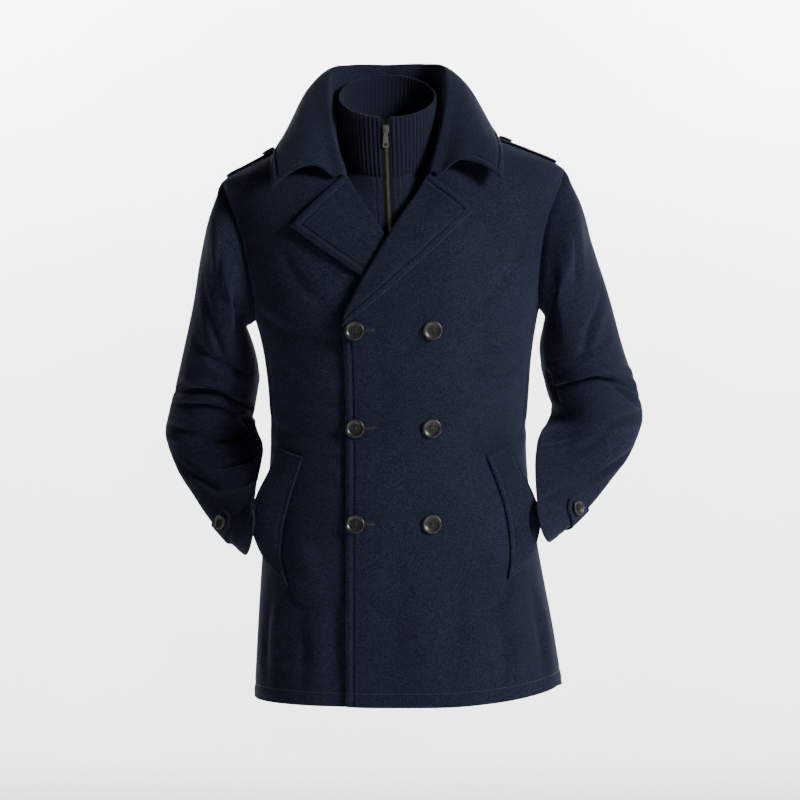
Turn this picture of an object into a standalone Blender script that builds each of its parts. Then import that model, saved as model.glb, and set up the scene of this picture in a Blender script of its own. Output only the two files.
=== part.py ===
"""A worn double-breasted short overcoat of thick wool melton, hollow and open.

Front faces -Y, the wearer's left is +X and the origin is at the base of the neck.
Every size below is in millimetres; the meshes are made in metres.
The body form is a stack of rounded sections, and each panel is a patch of that form
between its own cut edges. Sleeves are lofted from the armholes through rings.
"""
import math

import bmesh
import bpy
import numpy as np
from mathutils import Matrix, Vector

MM = 0.001

# ---------------------------------------------------------------- driving sizes
CLOTH = 3.0                  # one thickness of melton
RIB_CLOTH = 2.4              # rib-knit wall without its ribs
SEAM = 0.3                   # gap left between two pieces at a seam
BODY_ROUNDNESS = 2.3         # exponent of the rounded body sections

HEM_FRONT = -795.0           # hem height at the centre front
HEM_RISE = {"right": 0.0, "left": 20.0}      # how far the hem climbs at each side
HEM_BACK = -785.0
TIP_HEIGHT = {"right": -71.0, "left": -54.0}  # shoulder tips, one shoulder held higher
ARMPIT_DROP = 198.0          # armhole depth below the shoulder tip
NECK_HEIGHT = 15.0           # shoulder seam at the neck
NAPE_HEIGHT = 6.0            # back neckline at the centre
BREAK_HEIGHT = -284.0        # where the lapels begin to fold
GORGE_HEIGHT = -74.7         # where collar and lapel meet on the fold
OVERLAP_LIFT = 5.0           # the left front lies this far over the right one
LAPEL_LIFT = 10.4            # and this far where it also covers the right lapel

PANEL_SPLIT = 0.66           # share of a panel's rows that lies below the armpit
SEAM_TURN = 0.09             # half a side seam's gap as a turn of the body form, in degrees
SHOULDER_TURN = 0.42         # and half a shoulder seam's gap
NECK_PART = 0.48             # share of the half neckline that lies on the back
NECK_ROWS = 4                # the back's top rows, which turn from the shoulder to the nape
COLLAR_CENTRE = -7.0         # the collar's centre line
COLLAR_GAP = 1.8             # gap between the collar's stand and the neckline
ROLL_SIZE = 9.0              # how far the collar's leaf stands off its fold
LAPEL_REST = 4.0             # outer face of a lapel over the front it lies on
LAPEL_BELLY = 3.0            # outward curve of a lapel's edge

SLEEVE_STEPS = 24            # points round a sleeve
SLEEVE_GAP = 2.2             # the sleeve head stands this far off the armhole
TAB_ALONG = 0.935            # cuff strap: place on the sleeve, slant, half width and ends
TAB_SLANT = 0.0008
TAB_HALF_WIDTH = 0.027
TAB_SEWN_END = -75.0
TAB_ROUND_END = 90.0
TAB_LIFT = 0.6
TAB_BUTTON_ROUND = 70.0

EPAULETTE_INNER = 138.0      # shoulder strap: ends from the centre line, half width, lift
EPAULETTE_OUTER = {"right": 224.0, "left": 236.0}
EPAULETTE_HALF_WIDTH = 22.0
EPAULETTE_LIFT = 1.0
EPAULETTE_BUTTON = 164.0
WELT_REST = 0.4

BIB_TOP = -77.0              # zipped insert: its top and bottom at the zip
BIB_BOTTOM = -212.0
BIB_DEPTH = 10.0             # it lies this far inside the fronts' outer faces
RIB_COUNT = 66               # ribs round the knitted stand collar
RIB_HEIGHT = 1.5
ZIP_TOP_X = -9.5
ZIP_BOTTOM_X = -0.5
ZIP_HALF_WIDTH = 6.5
CHAIN_HALF_WIDTH = 2.6
SLIDER_HEIGHT = -10.0        # height of the pull's hinge
SLIDER_SIZE = (8.5, 2.9, 11.0)
ARCH_SIZE = (1.4, 3.6, 8.0)
ARCH_WINDOW = (2.4, 5.2)     # depth and height of the opening under the arch
PULL_LENGTH = 26.0
PULL_THICKNESS = 1.1

BUTTON_ROWS = (-287.0, -419.0, -549.0)
BUTTON_COLUMNS = {"right": -49.0, "left": 53.0}
FRONT_BUTTON = 26.0
SMALL_BUTTON = 20.0
BUTTON_GAP = 0.5
HOLE_CIRCLE = 3.0            # distance of a button's holes from its middle
HOLE_RADIUS = 1.1
SLIDER_PROUD = 3.2           # slider face and chain face over the tape
CHAIN_PROUD = 1.2
TAPE_THICKNESS = 1.2
PULL_STANDOFF = 1.2


def table(columns, *rows):
    """Return the named columns of a small table as arrays."""
    values = np.array(rows, dtype=float)
    return {name: values[:, i] for i, name in enumerate(columns.split())}


# Side lines of the body form from the hem to the neck, and its depth to front and back.
BODY = table(
    "z       right   left  centre  front   back",
    (-800, -194.0, 242.0,    3.0, 136.0, 128.0),
    (-700, -189.0, 226.0,    3.0, 134.0, 130.0),
    (-600, -183.0, 207.0,    3.0, 131.0, 126.0),
    (-520, -177.0, 194.0,    3.0, 126.0, 114.0),
    (-440, -171.0, 188.0,    3.0, 121.0, 103.0),
    (-370, -174.0, 191.0,    2.0, 125.0, 108.0),
    (-300, -184.0, 198.0,    0.0, 131.0, 120.0),
    (-245, -200.0, 208.0,   -2.0, 132.0, 128.0),
    (-190, -219.0, 222.0,   -5.0, 129.0, 130.0),
    (-130, -232.0, 234.0,   -7.0, 119.0, 122.0),
    (-95,  -238.0, 240.0,   -7.0, 107.0, 111.0),
    (-72,  -236.0, 243.0,   -7.0,  97.0, 101.0),
    (-54,  -204.0, 238.0,   -7.0,  88.0,  92.0),
    (-32,  -163.0, 190.0,   -7.0,  77.0,  80.0),
    (-10,  -122.0, 130.0,   -7.0,  66.0,  69.0),
    (15,    -83.0,  69.0,   -7.0,  54.0,  60.0),
)

# How far each front reaches past the centre line, along the fold and then the neckline.
FOLD = table(
    "z       reach",
    (-284.0, -64.0),
    (-254.1, -52.0),
    (-224.2, -35.5),
    (-194.3, -16.5),
    (-164.4,   2.5),
    (-134.5,  22.5),
    (-104.6,  42.0),
    (-74.7,   59.0),
    (-44.8,   69.0),
    (-14.9,   75.0),
    (15.0,    76.0),
)

# The armhole, counted round from the shoulder tip forward, down, and up the back.
ARMHOLE = table(
    "round   turn   drop",
    (0,      90.0,  0.00),
    (30,     79.0,  0.09),
    (60,     69.0,  0.29),
    (90,     65.0,  0.52),
    (120,    68.0,  0.76),
    (150,    77.0,  0.94),
    (180,    90.0,  1.00),
    (210,   103.0,  0.94),
    (240,   112.0,  0.76),
    (270,   115.0,  0.52),
    (300,   111.0,  0.29),
    (330,   101.0,  0.09),
    (360,    90.0,  0.00),
)

# Sleeve rings: the outer and inner end of each, its half depth and how far it leans back.
SLEEVE_RINGS = {
    "right": table(
        "along  out_x  out_y  out_z   in_x   in_y   in_z  depth  lean",
        (0.08, -257.0,   0.0, -122.0, -205.0,   4.0, -276.0,  77.0,   0.0),
        (0.18, -270.5,   8.0, -178.0, -201.0,  14.0, -290.0,  75.0,   0.0),
        (0.30, -282.0,  18.0, -245.0, -194.0,  24.0, -314.0,  71.0,   4.0),
        (0.44, -301.0,  36.0, -325.0, -190.0,  40.0, -352.0,  66.0,  10.0),
        (0.54, -315.0,  56.0, -380.0, -196.0,  52.0, -388.0,  63.0,  16.0),
        (0.62, -325.0,  76.0, -420.0, -200.0,  46.0, -414.0,  60.0,  24.0),
        (0.70, -310.0,  70.0, -462.0, -192.0,  16.0, -438.0,  57.0,  30.0),
        (0.79, -285.0,  42.0, -502.0, -182.0, -18.0, -458.0,  52.0,  32.0),
        (0.87, -260.0,   6.0, -538.0, -186.0, -42.0, -484.0,  46.0,  30.0),
        (0.94, -234.0, -26.0, -570.0, -190.0, -56.0, -506.0,  39.0,  24.0),
        (1.00, -207.0, -48.0, -594.0, -194.0, -68.0, -528.0,  32.0,  16.0),
    ),
    "left": table(
        "along  out_x  out_y  out_z   in_x   in_y   in_z  depth  lean",
        (0.08,  265.0,   0.0, -104.0,  215.0,   4.0, -260.0,  77.0,   0.0),
        (0.18,  282.0,   8.0, -160.0,  213.0,  14.0, -276.0,  75.0,   0.0),
        (0.30,  305.0,  18.0, -228.0,  209.0,  24.0, -302.0,  71.0,   4.0),
        (0.44,  329.0,  36.0, -308.0,  213.0,  40.0, -338.0,  66.0,  10.0),
        (0.54,  349.0,  56.0, -362.0,  222.0,  52.0, -372.0,  63.0,  16.0),
        (0.62,  358.0,  76.0, -400.0,  230.0,  46.0, -398.0,  60.0,  24.0),
        (0.70,  341.0,  70.0, -442.0,  222.0,  20.0, -422.0,  57.0,  30.0),
        (0.79,  312.0,  42.0, -482.0,  206.0, -12.0, -444.0,  52.0,  32.0),
        (0.87,  283.0,   6.0, -518.0,  199.0, -38.0, -468.0,  46.0,  30.0),
        (0.94,  252.0, -26.0, -550.0,  198.0, -56.0, -492.0,  39.0,  24.0),
        (1.00,  221.0, -48.0, -576.0,  200.0, -68.0, -512.0,  32.0,  16.0),
    ),
}

# The large folds of the sleeves: place along and round, reach each way, and height.
SLEEVE_FOLDS = {
    "right": table(
        "along  round  length  width  slant  height",
        (0.555,   60,     75,  0.017,  0.030,   -8.0),
        (0.590,   55,     80,  0.016,  0.026,    5.0),
        (0.620,   35,     70,  0.016, -0.020,   -7.0),
        (0.745,  110,     60,  0.017, -0.020,   -6.0),
        (0.480,  200,     60,  0.018,  0.020,   -5.0),
        (0.660,  190,     55,  0.018,  0.000,   -7.0),
        (0.590,  290,     60,  0.018, -0.020,   -5.0),
    ),
    "left": table(
        "along  round  length  width  slant  height",
        (0.550,   70,     80,  0.017,  0.028,   -8.0),
        (0.585,   60,     75,  0.016,  0.022,    5.0),
        (0.625,   30,     65,  0.016, -0.022,   -7.0),
        (0.740,  120,     65,  0.017, -0.026,   -7.0),
        (0.485,  190,     55,  0.018,  0.016,   -5.0),
        (0.665,  200,     55,  0.018,  0.000,   -6.0),
        (0.600,  285,     60,  0.018, -0.020,   -5.0),
    ),
}

# Half of the collar from the nape to the gorge: the fold on top and the leaf's outer edge,
# both from the centre line, the leaf's fullness, and how much higher the left side sits.
COLLAR = table(
    "along  roll_x roll_y roll_z  edge_x edge_y edge_z  full  left_rise",
    (0.00,    0.0,  78.0,  103.0,    0.0, 114.0,   10.0,   7.0,   0.0),
    (0.22,   50.0,  64.0,  101.0,   86.0, 100.0,    6.0,   9.0,   4.0),
    (0.42,   82.0,  24.0,   88.0,  138.0,  44.0,   -2.0,  12.0,  11.0),
    (0.60,   86.0, -18.0,   50.0,  152.0, -14.0,  -21.0,  12.0,  15.0),
    (0.80,   79.0, -62.0,   -4.0,  160.0, -78.0,  -52.0,   9.0,  12.0),
    (1.00,   63.0, -103.0, -72.0,  156.0, -116.0, -90.0,   6.0,  12.0),
)

# Lapels: where each fold row's outer edge lies, from the centre line, and its stand-off.
LAPELS = {
    "right": {"tip_reach": 128.0, "tip_height": -146.0, "tip_lift": 11.0},
    "left": {"tip_reach": 115.0, "tip_height": -126.0, "tip_lift": 11.0},
}

# The lapels' roll round the fold: distance off the front's edge and over its outer face.
ROLL = table(
    "step  out  rest",
    (0,   0.8, -3.0),
    (1,   2.8, -3.0),
    (2,   4.8, -0.8),
    (3,   4.2,  2.6),
    (4,   0.6,  4.0),
)

# Pocket welts: sewn seam and free edge from top to bottom, and the free edge's stand-off.
WELTS = {
    "right": table(
        "along  seam_x  seam_z   turn   free_z  proud",
        (0.00,  -122.0, -460.0,  62.0, -448.0,   1.0),
        (0.20,  -130.0, -486.0,  66.0, -480.0,   9.0),
        (0.45,  -141.0, -522.0,  69.0, -520.0,  22.0),
        (0.70,  -150.0, -566.0,  70.0, -558.0,  24.0),
        (0.88,  -151.0, -604.0,  69.0, -590.0,  10.0),
        (1.00,  -142.0, -634.0,  67.0, -606.0,   1.0),
    ),
    "left": table(
        "along  seam_x  seam_z   turn   free_z  proud",
        (0.00,   128.0, -457.0,  56.0, -441.0,   1.0),
        (0.20,   139.0, -484.0,  60.0, -474.0,   8.0),
        (0.45,   152.0, -522.0,  65.0, -516.0,  18.0),
        (0.70,   160.0, -566.0,  67.0, -552.0,  20.0),
        (0.88,   161.0, -600.0,  66.0, -582.0,   9.0),
        (1.00,   158.0, -624.0,  64.0, -600.0,   1.0),
    ),
}


# Reach of the insert's outer edge from the zip, from its top to its bottom.
BIB = table(
    "down  reach",
    (0.0,  56.0),
    (0.3,  62.0),
    (0.7,  46.0),
    (1.0,  34.0),
)

# The knitted collar: height share, half width, and its place at the front and the back.
RIBBED = table(
    "share  half   front_y  front_z  back_y  back_z",
    (0.00,  62.0,   -91.0,   -76.0,   50.0,   -2.0),
    (0.30,  65.0,   -89.0,   -50.0,   51.0,   24.0),
    (0.65,  66.5,   -87.0,   -20.0,   53.0,   56.0),
    (1.00,  68.0,   -86.5,     6.0,   55.0,   84.0),
)


# ---------------------------------------------------------------- curves and forms
def smooth(knots, values, at):
    """Evaluate a smooth cubic curve through the rows of a table."""
    values = np.asarray(values, dtype=float)
    slopes = np.gradient(values, knots, axis=0)
    at = np.clip(np.asarray(at, dtype=float), knots[0], knots[-1])
    row = np.clip(np.searchsorted(knots, at, side="right") - 1, 0, len(knots) - 2)
    step = knots[row + 1] - knots[row]
    part = (at - knots[row]) / step
    if values.ndim > 1:
        part = part[..., None]
        step = step[..., None]
    start = (1 + 2 * part) * (1 - part) ** 2 * values[row]
    start = start + part * (1 - part) ** 2 * step * slopes[row]
    end = part ** 2 * (3 - 2 * part) * values[row + 1]
    end = end + part ** 2 * (part - 1) * step * slopes[row + 1]
    return start + end


def ease(value, low, high):
    """Rise softly from 0 at low to 1 at high."""
    part = np.clip((np.asarray(value, dtype=float) - low) / (high - low), 0, 1)
    return part * part * (3 - 2 * part)


def unit(vectors):
    """Scale vectors to length one."""
    return vectors / np.linalg.norm(vectors, axis=-1, keepdims=True)


def side_sign(side):
    """Give the x direction of the wearer's right or left."""
    return {"right": -1.0, "left": 1.0}[side]


def body_size(name, height):
    """Read one column of the body table at a height."""
    return smooth(BODY["z"], BODY[name], height)


def half_width(turn, height):
    """Distance from the centre line to the side line on the side that turn lies on."""
    centre = body_size("centre", height)
    left = body_size("left", height) - centre
    right = centre - body_size("right", height)
    return np.where(np.asarray(turn) >= 0, left, right)


def form(turn, height):
    """Point of the body form; turn is 0 at the centre front and 180 at the back."""
    turn = np.asarray(turn, dtype=float)
    power = 2 / BODY_ROUNDNESS
    angle = np.radians(np.abs(turn))
    across = np.abs(np.sin(angle)) ** power * half_width(turn, height)
    depth = np.where(np.cos(angle) > 0, body_size("front", height), body_size("back", height))
    y = -np.sign(np.cos(angle)) * np.abs(np.cos(angle)) ** power * depth
    x = body_size("centre", height) + np.where(turn >= 0, 1, -1) * across
    return np.stack(np.broadcast_arrays(x, y, height), axis=-1)


def form_normal(turn, height):
    """Outward direction of the body form."""
    turn = np.asarray(turn, dtype=float)
    height = np.asarray(height, dtype=float)
    along = form(turn + 0.6, height) - form(turn - 0.6, height)
    up = form(turn, height + 1.5) - form(turn, height - 1.5)
    return unit(np.cross(along, up))


def turn_at(x, height):
    """Turn of the point of the front half that has a given x."""
    reach = np.asarray(x, dtype=float) - body_size("centre", height)
    part = np.clip(np.abs(reach) / half_width(reach, height), 0, 1)
    return np.sign(reach) * np.degrees(np.arcsin(part ** (BODY_ROUNDNESS / 2)))


def overlap_lift(side, x, height):
    """How far a front stands off the body form: the left one lies over the right one."""
    if side == "right":
        return np.zeros(np.broadcast(x, height).shape)
    level = OVERLAP_LIFT + (LAPEL_LIFT - OVERLAP_LIFT) * ease(height, -330, -280)
    level = level * (1 - ease(height, -160, -90))
    return level * (1 - ease(x, 66, 136))


def front_surface(side, turn, height, lift=0.0):
    """Point on a front's outer face, moved out by lift."""
    points = form(turn, height)
    lift = overlap_lift(side, points[..., 0], height) + lift
    return points + form_normal(turn, height) * np.asarray(lift)[..., None]


def fold_reach(height):
    """Distance of the fold or neckline from the centre line, on the front's own side."""
    return np.interp(height, FOLD["z"], FOLD["reach"])


def armhole(side, around, gap=0.0):
    """Turn and height of the armhole edge; gap widens the hole."""
    around = np.asarray(around, dtype=float)
    turn = smooth(ARMHOLE["round"], ARMHOLE["turn"], around)
    drop = smooth(ARMHOLE["round"], ARMHOLE["drop"], around)
    turn = 90 + (turn - 90) * (1 + gap)
    return side_sign(side) * turn, TIP_HEIGHT[side] - ARMPIT_DROP * drop


def hem_height(side, turn):
    """Height of the hem all round the body."""
    front = HEM_FRONT + HEM_RISE[side] * ease(np.abs(turn), 10, 90)
    side_end = HEM_FRONT + HEM_RISE[side]
    back = side_end + (HEM_BACK - side_end) * ease(np.abs(turn), 90, 170)
    return np.where(np.abs(turn) < 90, front, back)


# ---------------------------------------------------------------- mesh helpers
def make_material(name, colour, roughness, metallic=0.0):
    """Make a plain finish."""
    material = bpy.data.materials.new(name)
    material.use_nodes = True
    shader = material.node_tree.nodes["Principled BSDF"]
    shader.inputs["Base Color"].default_value = (*colour, 1.0)
    shader.inputs["Roughness"].default_value = roughness
    shader.inputs["Metallic"].default_value = metallic
    material.diffuse_color = (*colour, 1.0)
    return material


def finish(obj, name, material, collection, smooth_faces=True):
    """Name an object, give it its material and put it in the collection."""
    obj.name = name
    obj.data.name = name
    obj.data.materials.clear()
    obj.data.materials.append(material)
    for owner in list(obj.users_collection):
        owner.objects.unlink(obj)
    collection.objects.link(obj)
    if smooth_faces:
        obj.data.shade_smooth()
        obj.data.set_sharp_from_angle(angle=math.radians(40))
    return obj


def grid_object(name, points, material, collection, wrap=False, flip=False, turned=None):
    """Make an open sheet from a grid of points (rows, columns, 3) in millimetres.

    Faces marked in turned start at their next corner, so they bend the other way.
    """
    rows, columns = points.shape[:2]
    index = np.arange(rows * columns).reshape(rows, columns)
    if wrap:
        index = np.concatenate([index, index[:, :1]], axis=1)
    corners = [index[:-1, :-1], index[:-1, 1:], index[1:, 1:], index[1:, :-1]]
    if flip:
        corners = [corners[0], corners[3], corners[2], corners[1]]
    faces = np.stack(corners, axis=-1)
    if turned is not None:
        faces[turned] = np.roll(faces[turned], 1, axis=-1)
    faces = faces.reshape(-1, 4)
    mesh = bpy.data.meshes.new(name)
    mesh.from_pydata((points.reshape(-1, 3) * MM).tolist(), [], faces.tolist())
    mesh.validate()
    obj = bpy.data.objects.new(name, mesh)
    return finish(obj, name, material, collection)


def thicken(obj, thickness=CLOTH):
    """Give a sheet its wall, from its outer face inwards."""
    wall = obj.modifiers.new("wall", "SOLIDIFY")
    wall.thickness = thickness * MM
    wall.offset = -1.0
    wall.use_even_offset = False
    return obj


def double_wall(name, outer, inner, material, collection):
    """Make a closed wall between an outer and an inner grid of the same size."""
    rows, columns = outer.shape[:2]
    index = np.arange(rows * columns).reshape(rows, columns)
    under = index + rows * columns

    def quads(a, b, c, d):
        return np.stack([a, b, c, d], axis=-1).reshape(-1, 4)

    faces = [
        quads(index[:-1, :-1], index[:-1, 1:], index[1:, 1:], index[1:, :-1]),
        quads(under[1:, :-1], under[1:, 1:], under[:-1, 1:], under[:-1, :-1]),
        quads(index[0, 1:], index[0, :-1], under[0, :-1], under[0, 1:]),
        quads(index[-1, :-1], index[-1, 1:], under[-1, 1:], under[-1, :-1]),
        quads(index[:-1, 0], index[1:, 0], under[1:, 0], under[:-1, 0]),
        quads(index[1:, -1], index[:-1, -1], under[:-1, -1], under[1:, -1]),
    ]
    points = np.concatenate([outer.reshape(-1, 3), inner.reshape(-1, 3)]) * MM
    mesh = bpy.data.meshes.new(name)
    mesh.from_pydata(points.tolist(), [], np.concatenate(faces).tolist())
    obj = bpy.data.objects.new(name, mesh)
    return finish(obj, name, material, collection)


# ---------------------------------------------------------------- body panels
def panel_rows(low_rows, high_rows):
    """Row positions from hem to shoulder, with one row exactly at the armpit."""
    low = np.linspace(0, PANEL_SPLIT, low_rows)
    high = np.linspace(PANEL_SPLIT, 1, high_rows)
    return np.concatenate([low, high[1:]])


def seam_turn(along):
    """Half the gap between front and back, from the side seam up to the shoulder seam."""
    return SEAM_TURN + (SHOULDER_TURN - SEAM_TURN) * ease(along, 0.7, 1)


def outer_edge(side, along):
    """Side seam from the hem to the armpit, then the armhole up to the shoulder tip."""
    armpit = TIP_HEIGHT[side] - ARMPIT_DROP
    hem = hem_height(side, 90.0)
    seam_height = hem + (armpit - hem) * np.clip(along / PANEL_SPLIT, 0, 1)
    around = 180 * (1 - np.clip((along - PANEL_SPLIT) / (1 - PANEL_SPLIT), 0, 1))
    turn, height = armhole(side, around)
    on_seam = along <= PANEL_SPLIT
    return np.where(on_seam, 90.0, np.abs(turn)), np.where(on_seam, seam_height, height)


def front_panel(side, low_rows=13, high_rows=11, columns=11):
    """Points of one front, from its front edge or fold out to the side seam or armhole."""
    sign = side_sign(side)
    along = panel_rows(low_rows, high_rows)
    low = np.clip(along / PANEL_SPLIT, 0, 1)
    high = np.clip((along - PANEL_SPLIT) / (1 - PANEL_SPLIT), 0, 1)
    in_height = HEM_FRONT + (BREAK_HEIGHT - HEM_FRONT) * low
    in_height = in_height + (NECK_HEIGHT - BREAK_HEIGHT) * high
    in_turn = sign * turn_at(body_size("centre", in_height) + sign * fold_reach(in_height), in_height)
    out_turn, out_height = outer_edge(side, along)
    across = np.linspace(0, 1, columns)[None, :]
    turn = in_turn[:, None] + (out_turn - in_turn)[:, None] * across
    height = in_height[:, None] + (out_height - in_height)[:, None] * across
    near_hem = (1 - low)[:, None] ** 6
    height = height + near_hem * (hem_height(side, turn) - height)
    turn = np.minimum(turn, (out_turn - seam_turn(along))[:, None])
    return front_surface(side, sign * turn, height)


def back_panel(low_rows=13, high_rows=11, columns=19, neck_part=0.6):
    """Points of the back; its top row runs up one shoulder, round the nape and down again."""
    along = panel_rows(low_rows, high_rows)
    part = np.linspace(0, 1, columns // 2 + 1)
    middle = (HEM_BACK + (NAPE_HEIGHT - HEM_BACK) * along)[:, None]
    settle = np.clip((along - PANEL_SPLIT) / (1 - PANEL_SPLIT), 0, 1)[:, None] ** 1.2
    halves = []
    for side in ("right", "left"):
        turn, height = outer_edge(side, along)
        turn = (180 - turn)[:, None]
        height = height[:, None]
        grid_turn = turn + (180 - turn) * part
        grid_height = height + (middle - height) * part * (2 - part)
        up_seam = np.clip(part / neck_part, 0, 1)
        round_neck = np.clip((part - neck_part) / (1 - neck_part), 0, 1)
        top_turn = 90 + 90 * round_neck
        top_height = TIP_HEIGHT[side] + (NECK_HEIGHT - TIP_HEIGHT[side]) * up_seam
        top_height = top_height + (NAPE_HEIGHT - NECK_HEIGHT) * ease(round_neck, 0, 1)
        grid_turn = grid_turn + settle * (top_turn - grid_turn[-1])
        grid_height = grid_height + settle * (top_height - grid_height[-1])
        grid_turn = np.maximum(grid_turn, turn + seam_turn(along)[:, None])
        halves.append(form(side_sign(side) * grid_turn, grid_height))
    return np.concatenate([halves[0], halves[1][:, -2::-1]], axis=1)


# ---------------------------------------------------------------- sleeves
def sleeve_ring(side, row, around):
    """Points round one sleeve ring: 0 at its outer end, 90 in front, 180 at its inner end."""
    rings = SLEEVE_RINGS[side]
    outer = np.array([rings["out_x"][row], rings["out_y"][row], rings["out_z"][row]])
    inner = np.array([rings["in_x"][row], rings["in_y"][row], rings["in_z"][row]])
    middle = (outer + inner) / 2
    across = (outer - inner) / 2
    axis = unit(across)
    forward = np.array([0.0, -1.0, 0.0])
    forward = unit(forward - axis * np.dot(forward, axis))
    upward = np.cross(axis, forward) * side_sign(side)
    lean = math.radians(rings["lean"][row])
    front = (forward * math.cos(lean) + upward * math.sin(lean)) * rings["depth"][row]
    angle = np.radians(around)[:, None]
    return middle + across * np.cos(angle) + front * np.sin(angle)


def sleeve_folds(side, along, around):
    """Height of the sleeve's large folds at a place along and round it."""
    folds = SLEEVE_FOLDS[side]
    height = np.zeros(np.broadcast(along, around).shape)
    for row in range(len(folds["along"])):
        turned = (around - folds["round"][row] + 180) % 360 - 180
        reach = np.clip(np.abs(turned) / folds["length"][row], 0, 1)
        line = folds["along"][row] + folds["slant"][row] * turned / folds["length"][row]
        wave = np.exp(-((along - line) / folds["width"][row]) ** 2)
        height = height + folds["height"][row] * wave * np.cos(reach * math.pi / 2) ** 2
    return height


def sleeve_form(side, along, around):
    """Points of a sleeve's form without its folds."""
    steps = np.arange(0.0, 360.0, 360 / SLEEVE_STEPS)
    turn, height = armhole(side, steps)
    first = form(turn, height) + form_normal(turn, height) * 0.4
    away = np.array([side_sign(side) * SLEEVE_GAP, 0.0, 0.0])
    rings = [first + away]
    for row in range(len(SLEEVE_RINGS[side]["along"])):
        rings.append(sleeve_ring(side, row, steps))
    rings = np.array(rings)
    rings = np.concatenate([rings, rings[:, :1]], axis=1)
    knots = np.concatenate([[0.0], SLEEVE_RINGS[side]["along"]])
    strips = smooth(knots, rings.reshape(len(knots), -1), along)
    strips = strips.reshape(along.shape + (SLEEVE_STEPS + 1, 3))
    place = (around % 360) / 360 * SLEEVE_STEPS
    low = np.minimum(place.astype(int), SLEEVE_STEPS - 1)
    part = (place - low)[..., None]
    rows = np.indices(along.shape)
    return strips[(*rows, low)] * (1 - part) + strips[(*rows, low + 1)] * part


def sleeve_normal(side, along, around):
    """Outward direction of a sleeve's form."""
    low = np.clip(along - 0.01, 0, 0.98)
    down = sleeve_form(side, low + 0.02, around) - sleeve_form(side, low, around)
    step = 360 / SLEEVE_STEPS
    turned = sleeve_form(side, along, around + step) - sleeve_form(side, along, around - step)
    return unit(np.cross(turned, down)) * side_sign(side)


def sleeve_surface(side, along, around, lift=0.0):
    """Points of the sleeve's outer face at places along and round it, moved out by lift."""
    along, around = np.broadcast_arrays(np.asarray(along, float), np.asarray(around, float))
    raised = sleeve_folds(side, along, around) + lift
    return sleeve_form(side, along, around) + sleeve_normal(side, along, around) * raised[..., None]


def sleeve(side):
    """Points of a sleeve, ring by ring from the armhole to the cuff."""
    along = np.concatenate([np.linspace(0, 0.11, 3), np.linspace(0.18, 0.44, 4),
                            np.linspace(0.48, 0.76, 13), np.linspace(0.82, 1.0, 5)])
    around = np.arange(0.0, 360.0, 360 / SLEEVE_STEPS)
    return sleeve_surface(side, along[:, None], around)


def cuff_tab(side, columns=5):
    """Points of the cuff strap, its rounded end in front and its sewn end behind."""
    around = np.arange(TAB_SEWN_END, TAB_ROUND_END + 1, 360 / SLEEVE_STEPS)
    around = np.insert(around, -1, TAB_ROUND_END - 6)
    past = np.clip((around - (TAB_ROUND_END - 22)) / 22, 0, 1)
    half = TAB_HALF_WIDTH * np.sqrt(np.clip(1 - past ** 2.5, 0.06, 1))
    across = np.linspace(-1, 1, columns)
    along = TAB_ALONG - TAB_SLANT * around[:, None] + half[:, None] * across
    return sleeve_surface(side, along, around[:, None], TAB_LIFT + CLOTH)


# ---------------------------------------------------------------- collar and lapels
def neckline(side, along):
    """Points of the neckline from the nape, 0, to the gorge, 1."""
    along = np.asarray(along, dtype=float)
    back = np.clip(along / NECK_PART, 0, 1)
    front = np.clip((along - NECK_PART) / (1 - NECK_PART), 0, 1)
    height = NECK_HEIGHT + (GORGE_HEIGHT - NECK_HEIGHT) * front ** 1.15
    turn = turn_at(body_size("centre", height) + side_sign(side) * fold_reach(height), height)
    front_points = front_surface(side, turn, height)
    back_height = NAPE_HEIGHT + (NECK_HEIGHT - NAPE_HEIGHT) * ease(back, 0, 1)
    back_points = form(side_sign(side) * (180 - 90 * back), back_height)
    return np.where((along < NECK_PART)[..., None], back_points, front_points)


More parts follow.
